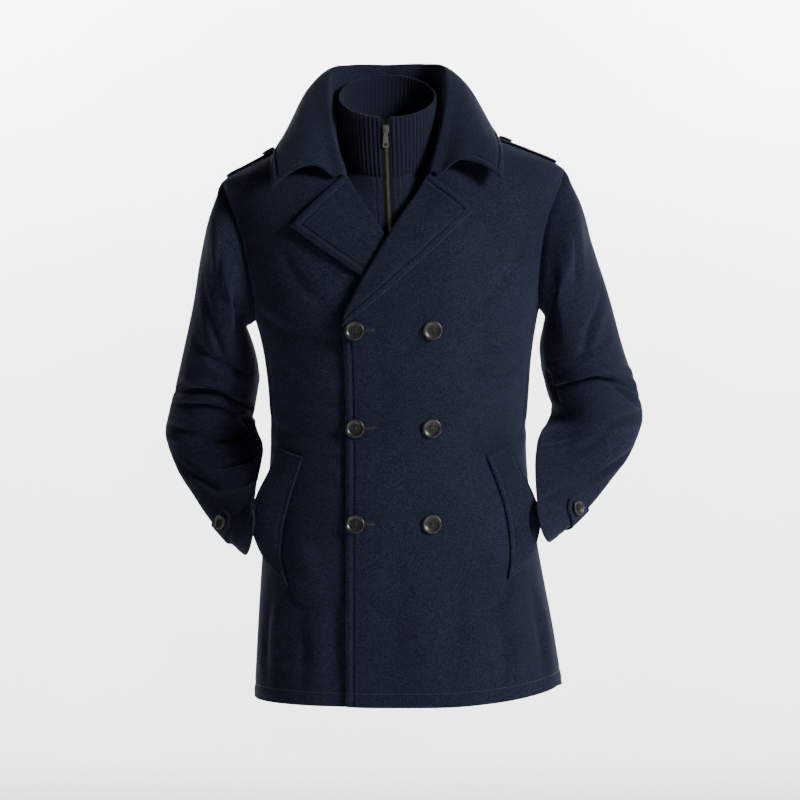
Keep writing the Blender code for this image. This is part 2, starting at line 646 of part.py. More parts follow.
def collar_half(side, columns=13, rows=13):
    """Collar points of one side, from the nape to the leading edge; rows run seam to edge."""
    along = np.linspace(0, 1, columns)
    sign = side_sign(side)
    rise = smooth(COLLAR["along"], COLLAR["left_rise"], along) if side == "left" else 0 * along

    def row(name):
        x = COLLAR_CENTRE + sign * smooth(COLLAR["along"], COLLAR[f"{name}_x"], along)
        y = smooth(COLLAR["along"], COLLAR[f"{name}_y"], along)
        z = smooth(COLLAR["along"], COLLAR[f"{name}_z"], along)
        share = {"roll": 0.3, "edge": 1.0}[name]
        return np.stack([x, y, z + rise * share], axis=-1)

    seam = neckline(side, along)
    inward = np.array([COLLAR_CENTRE, -20.0, 0.0]) - seam
    inward[:, 2] = 0
    gap = (COLLAR_GAP * (1 + 1.5 * along ** 3))[:, None]
    seam = seam + unit(inward) * (CLOTH + gap) + np.array([0.0, 0.0, 1.0]) * gap
    roll = row("roll")
    edge = row("edge")
    outward = edge - roll
    outward[:, 2] = 0
    outward = unit(outward)
    up = np.array([0.0, 0.0, 1.0])
    leaf = unit(edge - roll)
    face = unit(up - leaf * (leaf @ up)[:, None])
    full = smooth(COLLAR["along"], COLLAR["full"], along)[:, None]
    stand = seam * 0.45 + roll * 0.55 - outward * 2 - up * 1
    before = roll * 0.9 + stand * 0.1 - outward * 2.5
    after = roll + outward * ROLL_SIZE - up * ROLL_SIZE * 0.35
    upper = roll * 0.66 + edge * 0.34 + face * full
    lower = roll * 0.30 + edge * 0.70 + face * full * 0.6
    knots = np.array([0.0, 0.20, 0.36, 0.43, 0.50, 0.66, 0.83, 1.0])
    controls = np.array([seam, stand, before, roll, after, upper, lower, edge])
    across = np.concatenate([np.linspace(0, 0.34, 3), np.linspace(0.34, 0.54, 5)[1:],
                             np.linspace(0.54, 1, rows - 6)[1:]])
    points = smooth(knots, controls.reshape(len(knots), -1), across)
    points = points.reshape(len(across), columns, 3)
    arch = np.sin(math.pi * np.clip((across - 0.5) / 0.5, 0, 1))[:, None, None]
    lead = (along[None, :, None] ** 6) * arch
    return points + lead * np.array([0.0, 0.0, 14.0])


def collar():
    """Points of the whole collar from the right leading edge round to the left one."""
    right = collar_half("right")
    left = collar_half("left")
    middle = (right[:, :1] + left[:, :1]) / 2
    return np.concatenate([right[:, :0:-1], middle, left[:, 1:]], axis=1)


def lapel(side, rows=13, columns=10):
    """Lapel points: from the fold, round its roll and out to its edge, gorge to break."""
    sizes = LAPELS[side]
    sign = side_sign(side)
    down = np.linspace(0, 1, rows)
    height = GORGE_HEIGHT + (BREAK_HEIGHT + 4 - GORGE_HEIGHT) * down
    centre = body_size("centre", height)
    fold_x = centre + sign * fold_reach(height)
    end_x = fold_x[-1] + sign * 2.0
    end_z = height[-1] + 1.5
    tip_x = centre[0] + sign * sizes["tip_reach"]
    belly = np.sin(math.pi * down) * LAPEL_BELLY
    edge_x = tip_x + (end_x - tip_x) * down + sign * belly * 0.6
    edge_z = sizes["tip_height"] + (end_z - sizes["tip_height"]) * down - belly * 0.8
    lift = LAPEL_REST + (sizes["tip_lift"] - LAPEL_REST) * (1 - down) ** 1.5
    steps = np.arange(columns)
    out = np.clip((steps - ROLL["step"][-1]) / (columns - 1 - ROLL["step"][-1]), 0, 1)
    x = fold_x[:, None] + (edge_x - fold_x)[:, None] * out
    z = height[:, None] + (edge_z - height)[:, None] * out
    taper = np.clip((1 - down) / 0.06, 0.8, 1)[:, None]
    off = ROLL["out"][0] + (np.interp(steps, ROLL["step"], ROLL["out"]) - ROLL["out"][0]) * taper
    rest = np.interp(steps, ROLL["step"], ROLL["rest"])
    rise = rest + (lift - LAPEL_REST)[:, None] * ease(out, 0, 0.7)
    x = x - sign * off
    return front_surface(side, turn_at(x, z), z, rise)


# ---------------------------------------------------------------- pieces on the panels
def welt(side, rows=11, columns=5):
    """Pocket welt points: sewn along one seam and both ends, standing open at the free edge."""
    sizes = WELTS[side]
    along = np.linspace(0, 1, rows)
    seam_x = smooth(sizes["along"], sizes["seam_x"], along)
    seam_z = smooth(sizes["along"], sizes["seam_z"], along)
    free_turn = side_sign(side) * smooth(sizes["along"], sizes["turn"], along)
    free_z = smooth(sizes["along"], sizes["free_z"], along)
    proud = smooth(sizes["along"], sizes["proud"], along)
    seam_turn = turn_at(seam_x, seam_z)
    across = np.linspace(0, 1, columns)
    turn = seam_turn[:, None] + (free_turn - seam_turn)[:, None] * across
    height = seam_z[:, None] + (free_z - seam_z)[:, None] * across
    lift = WELT_REST + CLOTH + proud[:, None] * across ** 1.3
    return front_surface(side, turn, height, lift)


def strap_height(side, reach):
    """Height of the shoulder seam at a distance from the centre line."""
    heights = np.linspace(TIP_HEIGHT[side] - 2, NECK_HEIGHT, 120)
    seam_reach = half_width(side_sign(side), heights)
    order = np.argsort(seam_reach)
    return np.interp(reach, seam_reach[order], heights[order])


def epaulette(side, rows=9, columns=7):
    """Shoulder strap points over the shoulder seam, from the sleeve to its rounded end."""
    reach = np.linspace(EPAULETTE_OUTER[side], EPAULETTE_INNER, rows)
    end = np.clip((reach - EPAULETTE_INNER) / 16, 0, 1)
    half = EPAULETTE_HALF_WIDTH * np.sqrt(np.clip(1 - (1 - end) ** 2.5, 0.08, 1))
    height = strap_height(side, reach)[:, None]
    offset = half[:, None] * np.linspace(-1, 1, columns)
    share = np.clip(np.abs(offset) / body_size("front", height), 0, 1)
    away = np.degrees(np.arccos(share ** (BODY_ROUNDNESS / 2)))
    turn = side_sign(side) * np.where(offset < 0, away, 180 - away)
    height = height + 0 * offset
    return form(turn, height) + form_normal(turn, height) * (EPAULETTE_LIFT + CLOTH)


def bib_half(side, rows=10, columns=6):
    """Points of one half of the zipped insert, from the zip out under the front."""
    sign = side_sign(side)
    down = np.linspace(0, 1, rows)
    across = np.linspace(0, 1, columns)
    zip_x = zip_line(BIB_TOP + (BIB_BOTTOM - BIB_TOP) * down)
    reach = smooth(BIB["down"], BIB["reach"], down)
    x = zip_x[:, None] + sign * (ZIP_HALF_WIDTH + SEAM + (reach - ZIP_HALF_WIDTH)[:, None] * across)
    ring_angle = np.degrees(np.arcsin((x[0] - COLLAR_CENTRE) / RIBBED["half"][0]))
    ring = rib_ring(0.0, ring_angle)
    first = ring[:, 2] - 2 * SEAM
    z = first + (BIB_BOTTOM - first) * down[:, None]
    points = front_surface("right", turn_at(x, z), z)
    points[..., 1] = points[..., 1] + BIB_DEPTH
    join = (1 - ease(down, 0, 0.45))[:, None]
    points[..., 1] = points[..., 1] + join * (ring[:, 1] - points[0, :, 1])
    return points


def zip_line(height):
    """The zip's x at a height: it leans a little towards the wearer's right at the top."""
    return ZIP_TOP_X + (ZIP_BOTTOM_X - ZIP_TOP_X) * np.clip((10 - height) / 220, 0, 1)


def rib_ring(share, angle):
    """Points of the knitted collar's plain face; angle is 0 at the front and 180 at the back."""
    half = smooth(RIBBED["share"], RIBBED["half"], share)
    front_y = smooth(RIBBED["share"], RIBBED["front_y"], share)
    back_y = smooth(RIBBED["share"], RIBBED["back_y"], share)
    front_z = smooth(RIBBED["share"], RIBBED["front_z"], share)
    back_z = smooth(RIBBED["share"], RIBBED["back_z"], share)
    turned = np.radians(angle)
    x = COLLAR_CENTRE + half * np.sin(turned)
    y = (front_y + back_y) / 2 - (back_y - front_y) / 2 * np.cos(turned)
    z = (front_z + back_z) / 2 - (back_z - front_z) / 2 * np.cos(turned)
    return np.stack(np.broadcast_arrays(x, y, z), axis=-1)


def rib_collar(rows=3):
    """Outer and inner points of the knitted collar, its ribs raised on the outer ones."""
    share = np.linspace(0, 1, rows)[:, None]
    columns = 2 * RIB_COUNT + 1
    zip_x = zip_line(smooth(RIBBED["share"], RIBBED["front_z"], share)) - COLLAR_CENTRE
    half = smooth(RIBBED["share"], RIBBED["half"], share)
    start = np.degrees(np.arcsin((zip_x + ZIP_HALF_WIDTH + SEAM) / half))
    end = 360 + np.degrees(np.arcsin((zip_x - ZIP_HALF_WIDTH - SEAM) / half))
    angle = start + (end - start) * np.linspace(0, 1, columns)
    plain = rib_ring(share, angle)
    outward = plain - plain.mean(axis=1, keepdims=True)
    outward[..., 2] = 0
    outward = unit(outward)
    crest = (np.arange(columns) % 2) * RIB_HEIGHT
    fade = np.where(np.arange(rows) == rows - 1, 0.6, 1.0)
    outer = plain + outward * (crest[None, :] * fade[:, None])[..., None]
    inner = plain - outward * RIB_CLOTH
    return outer, inner


def insert_front(height):
    """Depth of the insert's front along the zip, on the ribs and then on the cloth."""
    share = np.clip((height - RIBBED["front_z"][0]) / np.ptp(RIBBED["front_z"]), 0, 1)
    ribs = smooth(RIBBED["share"], RIBBED["front_y"], share)
    x = zip_line(height)
    cloth = front_surface("right", turn_at(x, height), height)[..., 1] + BIB_DEPTH
    join = 1 - ease((BIB_TOP - height) / (BIB_TOP - BIB_BOTTOM), 0, 0.45)
    top = front_surface("right", turn_at(zip_line(BIB_TOP), BIB_TOP), BIB_TOP)[..., 1] + BIB_DEPTH
    cloth = cloth + join * (RIBBED["front_y"][0] - top)
    return np.where(np.asarray(height) > BIB_TOP, ribs, cloth)


def zip_strip(near, far, proud, top, rows=15):
    """Points of a strip that runs down the zip, between two distances from its middle."""
    height = np.linspace(BIB_BOTTOM + 2, top, rows)
    x = zip_line(height)
    y = insert_front(height) - proud
    left = np.stack([x + near, y, height], axis=-1)
    right = np.stack([x + far, y, height], axis=-1)
    return np.stack([left, right], axis=1)


# ---------------------------------------------------------------- hard pieces
def box_mesh(name, size, centre, bevel=0.0):
    """Make a box as a mesh object in millimetres round a centre."""
    mesh = bpy.data.meshes.new(name)
    shape = bmesh.new()
    bmesh.ops.create_cube(shape, size=1.0)
    bmesh.ops.scale(shape, vec=Vector(size) * MM, verts=shape.verts)
    bmesh.ops.translate(shape, vec=Vector(centre) * MM, verts=shape.verts)
    if bevel:
        bmesh.ops.bevel(shape, geom=shape.edges, offset=bevel * MM, segments=2, affect="EDGES")
    shape.to_mesh(mesh)
    shape.free()
    return bpy.data.objects.new(name, mesh)


def settle(obj):
    """Turn an object's evaluated shape into its own mesh, with loose caps joined."""
    bpy.context.view_layer.update()
    graph = bpy.context.evaluated_depsgraph_get()
    mesh = bpy.data.meshes.new_from_object(obj.evaluated_get(graph))
    shape = bmesh.new()
    shape.from_mesh(mesh)
    bmesh.ops.remove_doubles(shape, verts=shape.verts, dist=0.00001)
    shape.to_mesh(mesh)
    shape.free()
    return mesh


def combine(obj, other, operation):
    """Join or cut an object with another by an exact Boolean."""
    step = obj.modifiers.new(operation.lower(), "BOOLEAN")
    step.object = other
    step.operation = operation
    step.solver = "EXACT"


def hide_cutter(obj, cutters):
    """Keep a cutter out of the way."""
    for owner in list(obj.users_collection):
        owner.objects.unlink(obj)
    cutters.objects.link(obj)
    obj.hide_render = True
    obj.display_type = "WIRE"


def button_mesh(name, diameter, cutters):
    """Make a four-hole horn button with a raised rim; it lies on XY and faces +Z."""
    radius = diameter / 2
    profile = [
        (0.0, 2.7),
        (0.68 * radius, 2.7),
        (0.84 * radius, 4.0),
        (radius, 2.8),
        (0.80 * radius, 0.0),
        (0.0, 0.0),
    ]
    mesh = bpy.data.meshes.new(name)
    points = [(x * MM, 0.0, z * MM) for x, z in profile]
    mesh.from_pydata(points, [(i, i + 1) for i in range(len(points) - 1)], [])
    turned = bpy.data.objects.new(name, mesh)
    bpy.context.scene.collection.objects.link(turned)
    screw = turned.modifiers.new("turn", "SCREW")
    screw.steps = 14
    screw.render_steps = 14
    screw.use_merge_vertices = True
    screw.merge_threshold = 0.00001
    cut = bpy.data.meshes.new(f"{name}_holes")
    shape = bmesh.new()
    for corner in range(4):
        angle = math.radians(45 + 90 * corner)
        place = Vector((math.cos(angle), math.sin(angle), 0.0)) * HOLE_CIRCLE * MM
        bmesh.ops.create_cone(shape, cap_ends=True, segments=5, radius1=HOLE_RADIUS * MM,
                              radius2=HOLE_RADIUS * MM, depth=20 * MM,
                              matrix=Matrix.Translation(place))
    shape.to_mesh(cut)
    shape.free()
    holes = bpy.data.objects.new(f"{name}_holes", cut)
    hide_cutter(holes, cutters)
    combine(turned, holes, "DIFFERENCE")
    result = settle(turned)
    bpy.data.objects.remove(turned, do_unlink=True)
    return result


def place_on(obj, point, normal, turn=0.0):
    """Stand an object on a point with its Z along a normal."""
    facing = Vector(normal).to_track_quat("Z", "Y").to_matrix().to_4x4()
    spin = Matrix.Rotation(math.radians(turn), 4, "Z")
    obj.matrix_world = Matrix.Translation(Vector(point) * MM) @ facing @ spin
    return obj


def zip_slider(material, collection, cutters):
    """Make the slider: a body over the chain with an arch that holds the pull."""
    x = float(zip_line(SLIDER_HEIGHT))
    face = float(insert_front(SLIDER_HEIGHT)) - SLIDER_PROUD
    body = box_mesh("zip_slider", SLIDER_SIZE, (x, face + SLIDER_SIZE[1] / 2, SLIDER_HEIGHT), 0.8)
    arch_centre = (x, face - ARCH_SIZE[1] / 2 + 0.6, SLIDER_HEIGHT)
    arch = box_mesh("slider_arch", ARCH_SIZE, arch_centre)
    window = box_mesh("slider_window", (6.0, ARCH_WINDOW[0], ARCH_WINDOW[1]),
                      (x, face - ARCH_WINDOW[0] / 2, SLIDER_HEIGHT))
    hide_cutter(arch, cutters)
    hide_cutter(window, cutters)
    combine(body, arch, "UNION")
    combine(body, window, "DIFFERENCE")
    finish(body, "zip_slider", material, collection, smooth_faces=False)
    return x, face


def zip_pull(x, face, material, collection):
    """Make the hanging pull; its origin lies on the bar that turns under the arch."""
    outline = bpy.data.curves.new("zip_pull", "CURVE")
    outline.dimensions = "2D"
    outline.fill_mode = "BOTH"
    outline.extrude = PULL_THICKNESS / 2 * MM
    low = -PULL_LENGTH
    loops = [
        [(-2.4, 0.65), (2.4, 0.65), (2.6, -5.6), (4.4, low + 2.0), (3.2, low), (-3.2, low),
         (-4.4, low + 2.0), (-2.6, -5.6)],
        [(-1.4, -0.65), (-1.4, -4.7), (1.4, -4.7), (1.4, -0.65)],
        [(-2.0, low + 6.5), (-2.4, low + 2.6), (2.4, low + 2.6), (2.0, low + 6.5)],
    ]
    for loop in loops:
        spline = outline.splines.new("POLY")
        spline.points.add(len(loop) - 1)
        for point, (across, up) in zip(spline.points, loop):
            point.co = (across * MM, up * MM, 0.0, 1.0)
        spline.use_cyclic_u = True
    flat = bpy.data.objects.new("pull_outline", outline)
    bpy.context.scene.collection.objects.link(flat)
    mesh = settle(flat)
    bpy.data.objects.remove(flat, do_unlink=True)
    mesh.transform(Matrix.Rotation(math.radians(90), 4, "X"))
    pull = bpy.data.objects.new("zip_pull", mesh)
    pull.location = Vector((x, face - PULL_STANDOFF, SLIDER_HEIGHT)) * MM
    finish(pull, "zip_pull", material, collection, smooth_faces=False)


# ---------------------------------------------------------------- the whole coat
def build_cloth(melton, ribbing, coat):
    """Build every cloth piece."""
    for side in ("right", "left"):
        mirrored = side == "right"
        sheets = {
            f"front_{side}": (front_panel(side), mirrored),
            f"lapel_{side}": (lapel(side), not mirrored),
            f"welt_{side}": (welt(side), not mirrored),
            f"epaulette_{side}": (epaulette(side), mirrored),
            f"bib_{side}": (bib_half(side), not mirrored),
            f"cuff_tab_{side}": (cuff_tab(side), not mirrored),
        }
        for name, (points, flip) in sheets.items():
            thicken(grid_object(name, points, melton, coat, flip=flip))
        thicken(grid_object(f"sleeve_{side}", sleeve(side), melton, coat, wrap=True, flip=mirrored))
    back = back_panel()
    turned = np.full((back.shape[0] - 1, back.shape[1] - 1), True)
    turned[-NECK_ROWS:, back.shape[1] // 2:] = False
    thicken(grid_object("back", back, melton, coat, flip=True, turned=turned))
    thicken(grid_object("collar", collar(), melton, coat))
    outer, inner = rib_collar()
    double_wall("rib_collar", outer, inner, ribbing, coat)


def build_buttons(horn, coat, cutters):
    """Place the front, cuff and shoulder buttons on their cloth."""
    large = button_mesh("front_button", FRONT_BUTTON, cutters)
    small = button_mesh("small_button", SMALL_BUTTON, cutters)
    count = 0
    for column, x in BUTTON_COLUMNS.items():
        for row, height in enumerate(BUTTON_ROWS, start=1):
            turn = turn_at(x, height)
            point = front_surface("left", turn, height, BUTTON_GAP)
            button = bpy.data.objects.new(f"button_{column}_{row}", large)
            finish(place_on(button, point, form_normal(turn, height)), button.name, horn, coat)
            count += 1
    for side in ("right", "left"):
        around = np.array([TAB_BUTTON_ROUND])
        along = TAB_ALONG - TAB_SLANT * around
        button = bpy.data.objects.new(f"button_cuff_{side}", small)
        point = sleeve_surface(side, along, around, TAB_LIFT + CLOTH + BUTTON_GAP)[0]
        normal = sleeve_normal(side, along, around)[0]
        finish(place_on(button, point, normal), button.name, horn, coat)
        seam_height = float(strap_height(side, np.array([EPAULETTE_BUTTON]))[0])
        turn = side_sign(side) * 90.0
        normal = form_normal(turn, seam_height)
        point = form(turn, seam_height) + normal * (EPAULETTE_LIFT + CLOTH + BUTTON_GAP)
        button = bpy.data.objects.new(f"button_epaulette_{side}", small)
        finish(place_on(button, point, normal), button.name, horn, coat)


def build_zip(tape, gunmetal, coat, cutters):
    """Build the closed zip with its slider and pull."""
    near = CHAIN_HALF_WIDTH + SEAM
    far = ZIP_HALF_WIDTH
    tape_top = RIBBED["front_z"][-1] - 3
    chain_top = SLIDER_HEIGHT - SLIDER_SIZE[2] / 2 - SEAM
    strips = {
        "zip_tape_left": (zip_strip(near, far, 0.0, tape_top), tape, TAPE_THICKNESS),
        "zip_tape_right": (zip_strip(-far, -near, 0.0, tape_top), tape, TAPE_THICKNESS),
        "zip_chain": (zip_strip(-CHAIN_HALF_WIDTH, CHAIN_HALF_WIDTH, CHAIN_PROUD, chain_top),
                      gunmetal, 2 * CHAIN_PROUD),
    }
    for name, (points, material, thickness) in strips.items():
        thicken(grid_object(name, points, material, coat), thickness)
    x, face = zip_slider(gunmetal, coat, cutters)
    zip_pull(x, face, gunmetal, coat)


def main():
    """Build the coat."""
    for obj in list(bpy.data.objects):
        bpy.data.objects.remove(obj, do_unlink=True)
    coat = bpy.data.collections.new("short_overcoat")
    cutters = bpy.data.collections.new("cutters")
    bpy.context.scene.collection.children.link(coat)
    bpy.context.scene.collection.children.link(cutters)
    melton = make_material("navy_melton", (0.020, 0.026, 0.046), 0.9)
    ribbing = make_material("navy_rib_knit", (0.010, 0.013, 0.028), 0.9)
    horn = make_material("dark_horn", (0.035, 0.033, 0.030), 0.35)
    tape = make_material("black_tape", (0.008, 0.008, 0.009), 0.8)
    gunmetal = make_material("gunmetal", (0.10, 0.10, 0.10), 0.35, 1.0)
    build_cloth(melton, ribbing, coat)
    build_buttons(horn, coat, cutters)
    build_zip(tape, gunmetal, coat, cutters)


main()
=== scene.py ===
"""The worn short overcoat, dressed for its picture.

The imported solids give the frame. Cloth pieces are thin shells on the same forms, with their
folds, stitched edges and rounded rims; the knit, the zip and the buttons are finely made.
Sizes are in millimetres unless a name says otherwise; meshes are made in metres.
"""

import logging
import math
from collections.abc import Callable
from dataclasses import dataclass, field
from enum import Enum

import bmesh
import bpy
import numpy as np
from mathutils import Matrix, Vector


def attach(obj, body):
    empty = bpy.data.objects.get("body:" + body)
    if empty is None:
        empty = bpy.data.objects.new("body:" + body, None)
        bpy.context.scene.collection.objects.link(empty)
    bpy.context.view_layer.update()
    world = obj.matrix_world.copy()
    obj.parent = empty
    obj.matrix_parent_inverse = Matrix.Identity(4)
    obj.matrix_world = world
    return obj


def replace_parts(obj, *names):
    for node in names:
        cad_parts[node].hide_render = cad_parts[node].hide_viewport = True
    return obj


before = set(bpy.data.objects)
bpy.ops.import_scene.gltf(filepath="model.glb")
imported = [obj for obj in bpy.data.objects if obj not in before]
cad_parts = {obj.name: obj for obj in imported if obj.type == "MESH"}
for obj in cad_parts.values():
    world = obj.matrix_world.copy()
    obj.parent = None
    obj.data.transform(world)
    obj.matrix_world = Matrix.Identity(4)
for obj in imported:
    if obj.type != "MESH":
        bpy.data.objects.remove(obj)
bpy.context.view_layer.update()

Array = np.ndarray
Socket = bpy.types.NodeSocket
Material = bpy.types.Material
Colour = tuple[float, float, float]

LOG = logging.getLogger("overcoat")
MM = 0.001  # metres in a millimetre
CLOTH = 3.0  # thickness of the melton
SEAM = 0.3  # gap at a seam
REST = 0.6  # gap under a welt or strap that lies on cloth
INSET = 9.5  # distance of the topstitching from an edge
COAT = "coat"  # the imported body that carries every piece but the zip's pull
TROUGH_LIP = 0.35  # height of the lip beside a trough, as a share of its depth
PANEL_SPLIT = 0.66  # share of a panel's height at which its armhole starts
ARC = 3.4  # millimetres round the body for a degree of turn
UP = np.array([0.0, 0.0, 1.0])


class Side(Enum):
    """The wearer's two sides."""

    RIGHT = "right"
    LEFT = "left"

    @property
    def sign(self) -> float:
        """The side's x direction."""
        return -1.0 if self is Side.RIGHT else 1.0

    @property
    def mirrored(self) -> bool:
        """Whether a grid made outwards from the centre faces the other way."""
        return self is Side.RIGHT


class Border(Enum):
    """The borders of a grid: the axis that leads away from each, and whether it is the last."""

    FIRST_ROW = (0, False)
    LAST_ROW = (0, True)
    FIRST_COLUMN = (1, False)
    LAST_COLUMN = (1, True)


# ---------- curves
def smooth(knots: Array, values: Array, at: Array) -> Array:
    """Read a cubic curve: Hermite pieces between rows, with slopes from the rows beside.

    Args:
        knots: rising places of the rows.
        values: one value or point for each row.
        at: places to read.

    Returns:
        The values at those places.
    """
    values = np.asarray(values, dtype=float)
    slopes = np.gradient(values, knots, axis=0)
    at = np.clip(np.asarray(at, dtype=float), knots[0], knots[-1])
    row = np.clip(np.searchsorted(knots, at, side="right") - 1, 0, len(knots) - 2)
    step = knots[row + 1] - knots[row]
    part = (at - knots[row]) / step
    if values.ndim > 1:
        part = part[..., None]
        step = step[..., None]
    start = (1 + 2 * part) * (1 - part) ** 2 * values[row]
    start = start + part * (1 - part) ** 2 * step * slopes[row]
    end = part**2 * (3 - 2 * part) * values[row + 1]
    return start + end + part**2 * (part - 1) * step * slopes[row + 1]


def ease(value: Array, low: float, high: float) -> Array:
    """Rise softly from 0 at low to 1 at high."""
    part = np.clip((np.asarray(value, dtype=float) - low) / (high - low), 0, 1)
    return part * part * (3 - 2 * part)


def bell(distance: Array, middle: float, width: float) -> Array:
    """A soft hump of height 1: e to the minus square of the distance over the width."""
    return np.exp(-(((distance - middle) / width) ** 2))


def unit(vectors: Array) -> Array:
    """Scale vectors to length one."""
    return vectors / np.maximum(np.linalg.norm(vectors, axis=-1, keepdims=True), 1e-9)


def level(vectors: Array) -> Array:
    """The flat directions of vectors: their heights dropped, scaled to length one."""
    return unit(vectors * np.array([1.0, 1.0, 0.0]))


def spaced(length: float, step: float, near: float = 0.0, far: float = 0.0) -> Array:
    """Places from 0 to 1 along a length, closer together in a band at either end.

    Args:
        length: rough length.
        step: distance between places away from the bands.
        near: width of the fine band at the start.
        far: width of the fine band at the end.

    Returns:
        The rising places, as shares of the length.
    """
    fine = 0.9
    head = np.arange(0, near, fine) if near else np.zeros(1)
    tail = length - np.arange(0, far, fine)[::-1] if far else np.full(1, length)
    count = max(3, int((tail[0] - head[-1]) / step))
    middle = np.linspace(head[-1], tail[0], count)[1:-1]
    return np.concatenate([head, middle, tail]) / length


def panel_rows(upper_length: float) -> Array:
    """Rows of a body panel: fine at the hem, then even to the armhole and on to its top."""
    low = spaced(511, 5.0, 25.0) * PANEL_SPLIT
    return np.concatenate([low, (PANEL_SPLIT + spaced(upper_length, 5.0) * (1 - PANEL_SPLIT))[1:]])


@dataclass(frozen=True)
class Chart:
    """A table whose first column places its rows and whose others are smooth curves."""

    columns: str
    rows: tuple[tuple[float, ...], ...]

    def column(self, name: str) -> Array:
        """One column as an array."""
        return np.array(self.rows, dtype=float)[:, self.columns.split().index(name)]

    def at(self, name: str, place: Array) -> Array:
        """A column's smooth curve, read at places of the first column."""
        return smooth(np.array(self.rows, dtype=float)[:, 0], self.column(name), place)

    def straight(self, name: str, place: Array) -> Array:
        """A column's straight-lined curve, read at places of the first column."""
        return np.interp(place, np.array(self.rows, dtype=float)[:, 0], self.column(name))


# ---------- the coat's charts
BODY = Chart("z right left centre front back", (
    (-800, -194, 242, 3, 136, 128),
    (-700, -189, 226, 3, 134, 130),
    (-600, -183, 207, 3, 131, 126),
    (-520, -177, 194, 3, 126, 114),
    (-440, -171, 188, 3, 121, 103),
    (-370, -174, 191, 2, 125, 108),
    (-300, -184, 198, 0, 131, 120),
    (-245, -200, 208, -2, 132, 128),
    (-190, -219, 222, -5, 129, 130),
    (-130, -232, 234, -7, 119, 122),
    (-95, -238, 240, -7, 107, 111),
    (-72, -236, 243, -7, 97, 101),
    (-54, -204, 238, -7, 88, 92),
    (-32, -163, 190, -7, 77, 80),
    (-10, -122, 130, -7, 66, 69),
    (15, -83, 69, -7, 54, 60),
))
FOLD = Chart("z reach", (
    (-284, -64),
    (-254.1, -52),
    (-224.2, -35.5),
    (-194.3, -16.5),
    (-164.4, 2.5),
    (-134.5, 22.5),
    (-104.6, 42),
    (-74.7, 59),
    (-44.8, 69),
    (-14.9, 75),
    (15, 76),
))
ARMHOLE = Chart("round turn drop", (
    (0, 90, 0),
    (30, 79, 0.09),
    (60, 69, 0.29),
    (90, 65, 0.52),
    (120, 68, 0.76),
    (150, 77, 0.94),
    (180, 90, 1),
    (210, 103, 0.94),
    (240, 112, 0.76),
    (270, 115, 0.52),
    (300, 111, 0.29),
    (330, 101, 0.09),
    (360, 90, 0),
))
SLEEVE_RINGS = {
    Side.RIGHT: Chart("along out_x out_y out_z in_x in_y in_z depth lean", (
        (0.08, -257, 0, -122, -205, 4, -276, 77, 0),
        (0.18, -270.5, 8, -178, -201, 14, -290, 75, 0),
        (0.3, -282, 18, -245, -194, 24, -314, 71, 4),
        (0.44, -301, 36, -325, -190, 40, -352, 66, 10),
        (0.54, -315, 56, -380, -196, 52, -388, 63, 16),
        (0.62, -325, 76, -420, -200, 46, -414, 60, 24),
        (0.7, -310, 70, -462, -192, 16, -438, 57, 30),
        (0.79, -285, 42, -502, -182, -18, -458, 52, 32),
        (0.87, -260, 6, -538, -186, -42, -484, 46, 30),
        (0.94, -234, -26, -570, -190, -56, -506, 39, 24),
        (1, -207, -48, -594, -194, -68, -528, 32, 16),
    )),
    Side.LEFT: Chart("along out_x out_y out_z in_x in_y in_z depth lean", (
        (0.08, 265, 0, -104, 215, 4, -260, 77, 0),
        (0.18, 282, 8, -160, 213, 14, -276, 75, 0),
        (0.3, 305, 18, -228, 209, 24, -302, 71, 4),
        (0.44, 329, 36, -308, 213, 40, -338, 66, 10),
        (0.54, 349, 56, -362, 222, 52, -372, 63, 16),
        (0.62, 358, 76, -400, 230, 46, -398, 60, 24),
        (0.7, 341, 70, -442, 222, 20, -422, 57, 30),
        (0.79, 312, 42, -482, 206, -12, -444, 52, 32),
        (0.87, 283, 6, -518, 199, -38, -468, 46, 30),
        (0.94, 252, -26, -550, 198, -56, -492, 39, 24),
        (1, 221, -48, -576, 200, -68, -512, 32, 16),
    )),
}
COLLAR = Chart("along roll_x roll_y roll_z edge_x edge_y edge_z full left_rise", (
    (0, 0, 78, 103, 0, 114, 10, 7, 0),
    (0.22, 50, 64, 101, 86, 100, 6, 9, 4),
    (0.42, 82, 24, 88, 138, 44, -2, 12, 11),
    (0.6, 86, -18, 50, 152, -14, -21, 12, 15),
    (0.8, 79, -62, -4, 160, -78, -52, 9, 12),
    (1, 63, -103, -72, 156, -116, -90, 6, 12),
))
ROLL = Chart("step out rest", (
    (0, 0.8, -3),
    (1, 2.8, -3),
    (2, 4.8, -0.8),
    (3, 4.2, 2.6),
    (4, 0.6, 4),
))
WELTS = {
    Side.RIGHT: Chart("along seam_x seam_z turn free_z proud", (
        (0, -122, -460, 62, -448, 1),
        (0.2, -130, -486, 66, -480, 9),
        (0.45, -141, -522, 69, -520, 22),
        (0.7, -150, -566, 70, -558, 24),
        (0.88, -151, -604, 69, -590, 10),
        (1, -142, -634, 67, -606, 1),
    )),
    Side.LEFT: Chart("along seam_x seam_z turn free_z proud", (
        (0, 128, -457, 56, -441, 1),
        (0.2, 139, -484, 60, -474, 8),
        (0.45, 152, -522, 65, -516, 18),
        (0.7, 160, -566, 67, -552, 20),
        (0.88, 161, -600, 66, -582, 9),
        (1, 158, -624, 64, -600, 1),
    )),
}
BIB = Chart("down reach", ((0, 56), (0.3, 62), (0.7, 46), (1, 34)))
RIBBED = Chart("share half front_y front_z back_y back_z", (
    (0, 62, -91, -76, 50, -2),
    (0.3, 65, -89, -50, 51, 24),
    (0.65, 66.5, -87, -20, 53, 56),
    (1, 68, -86.5, 6, 55, 84),
))
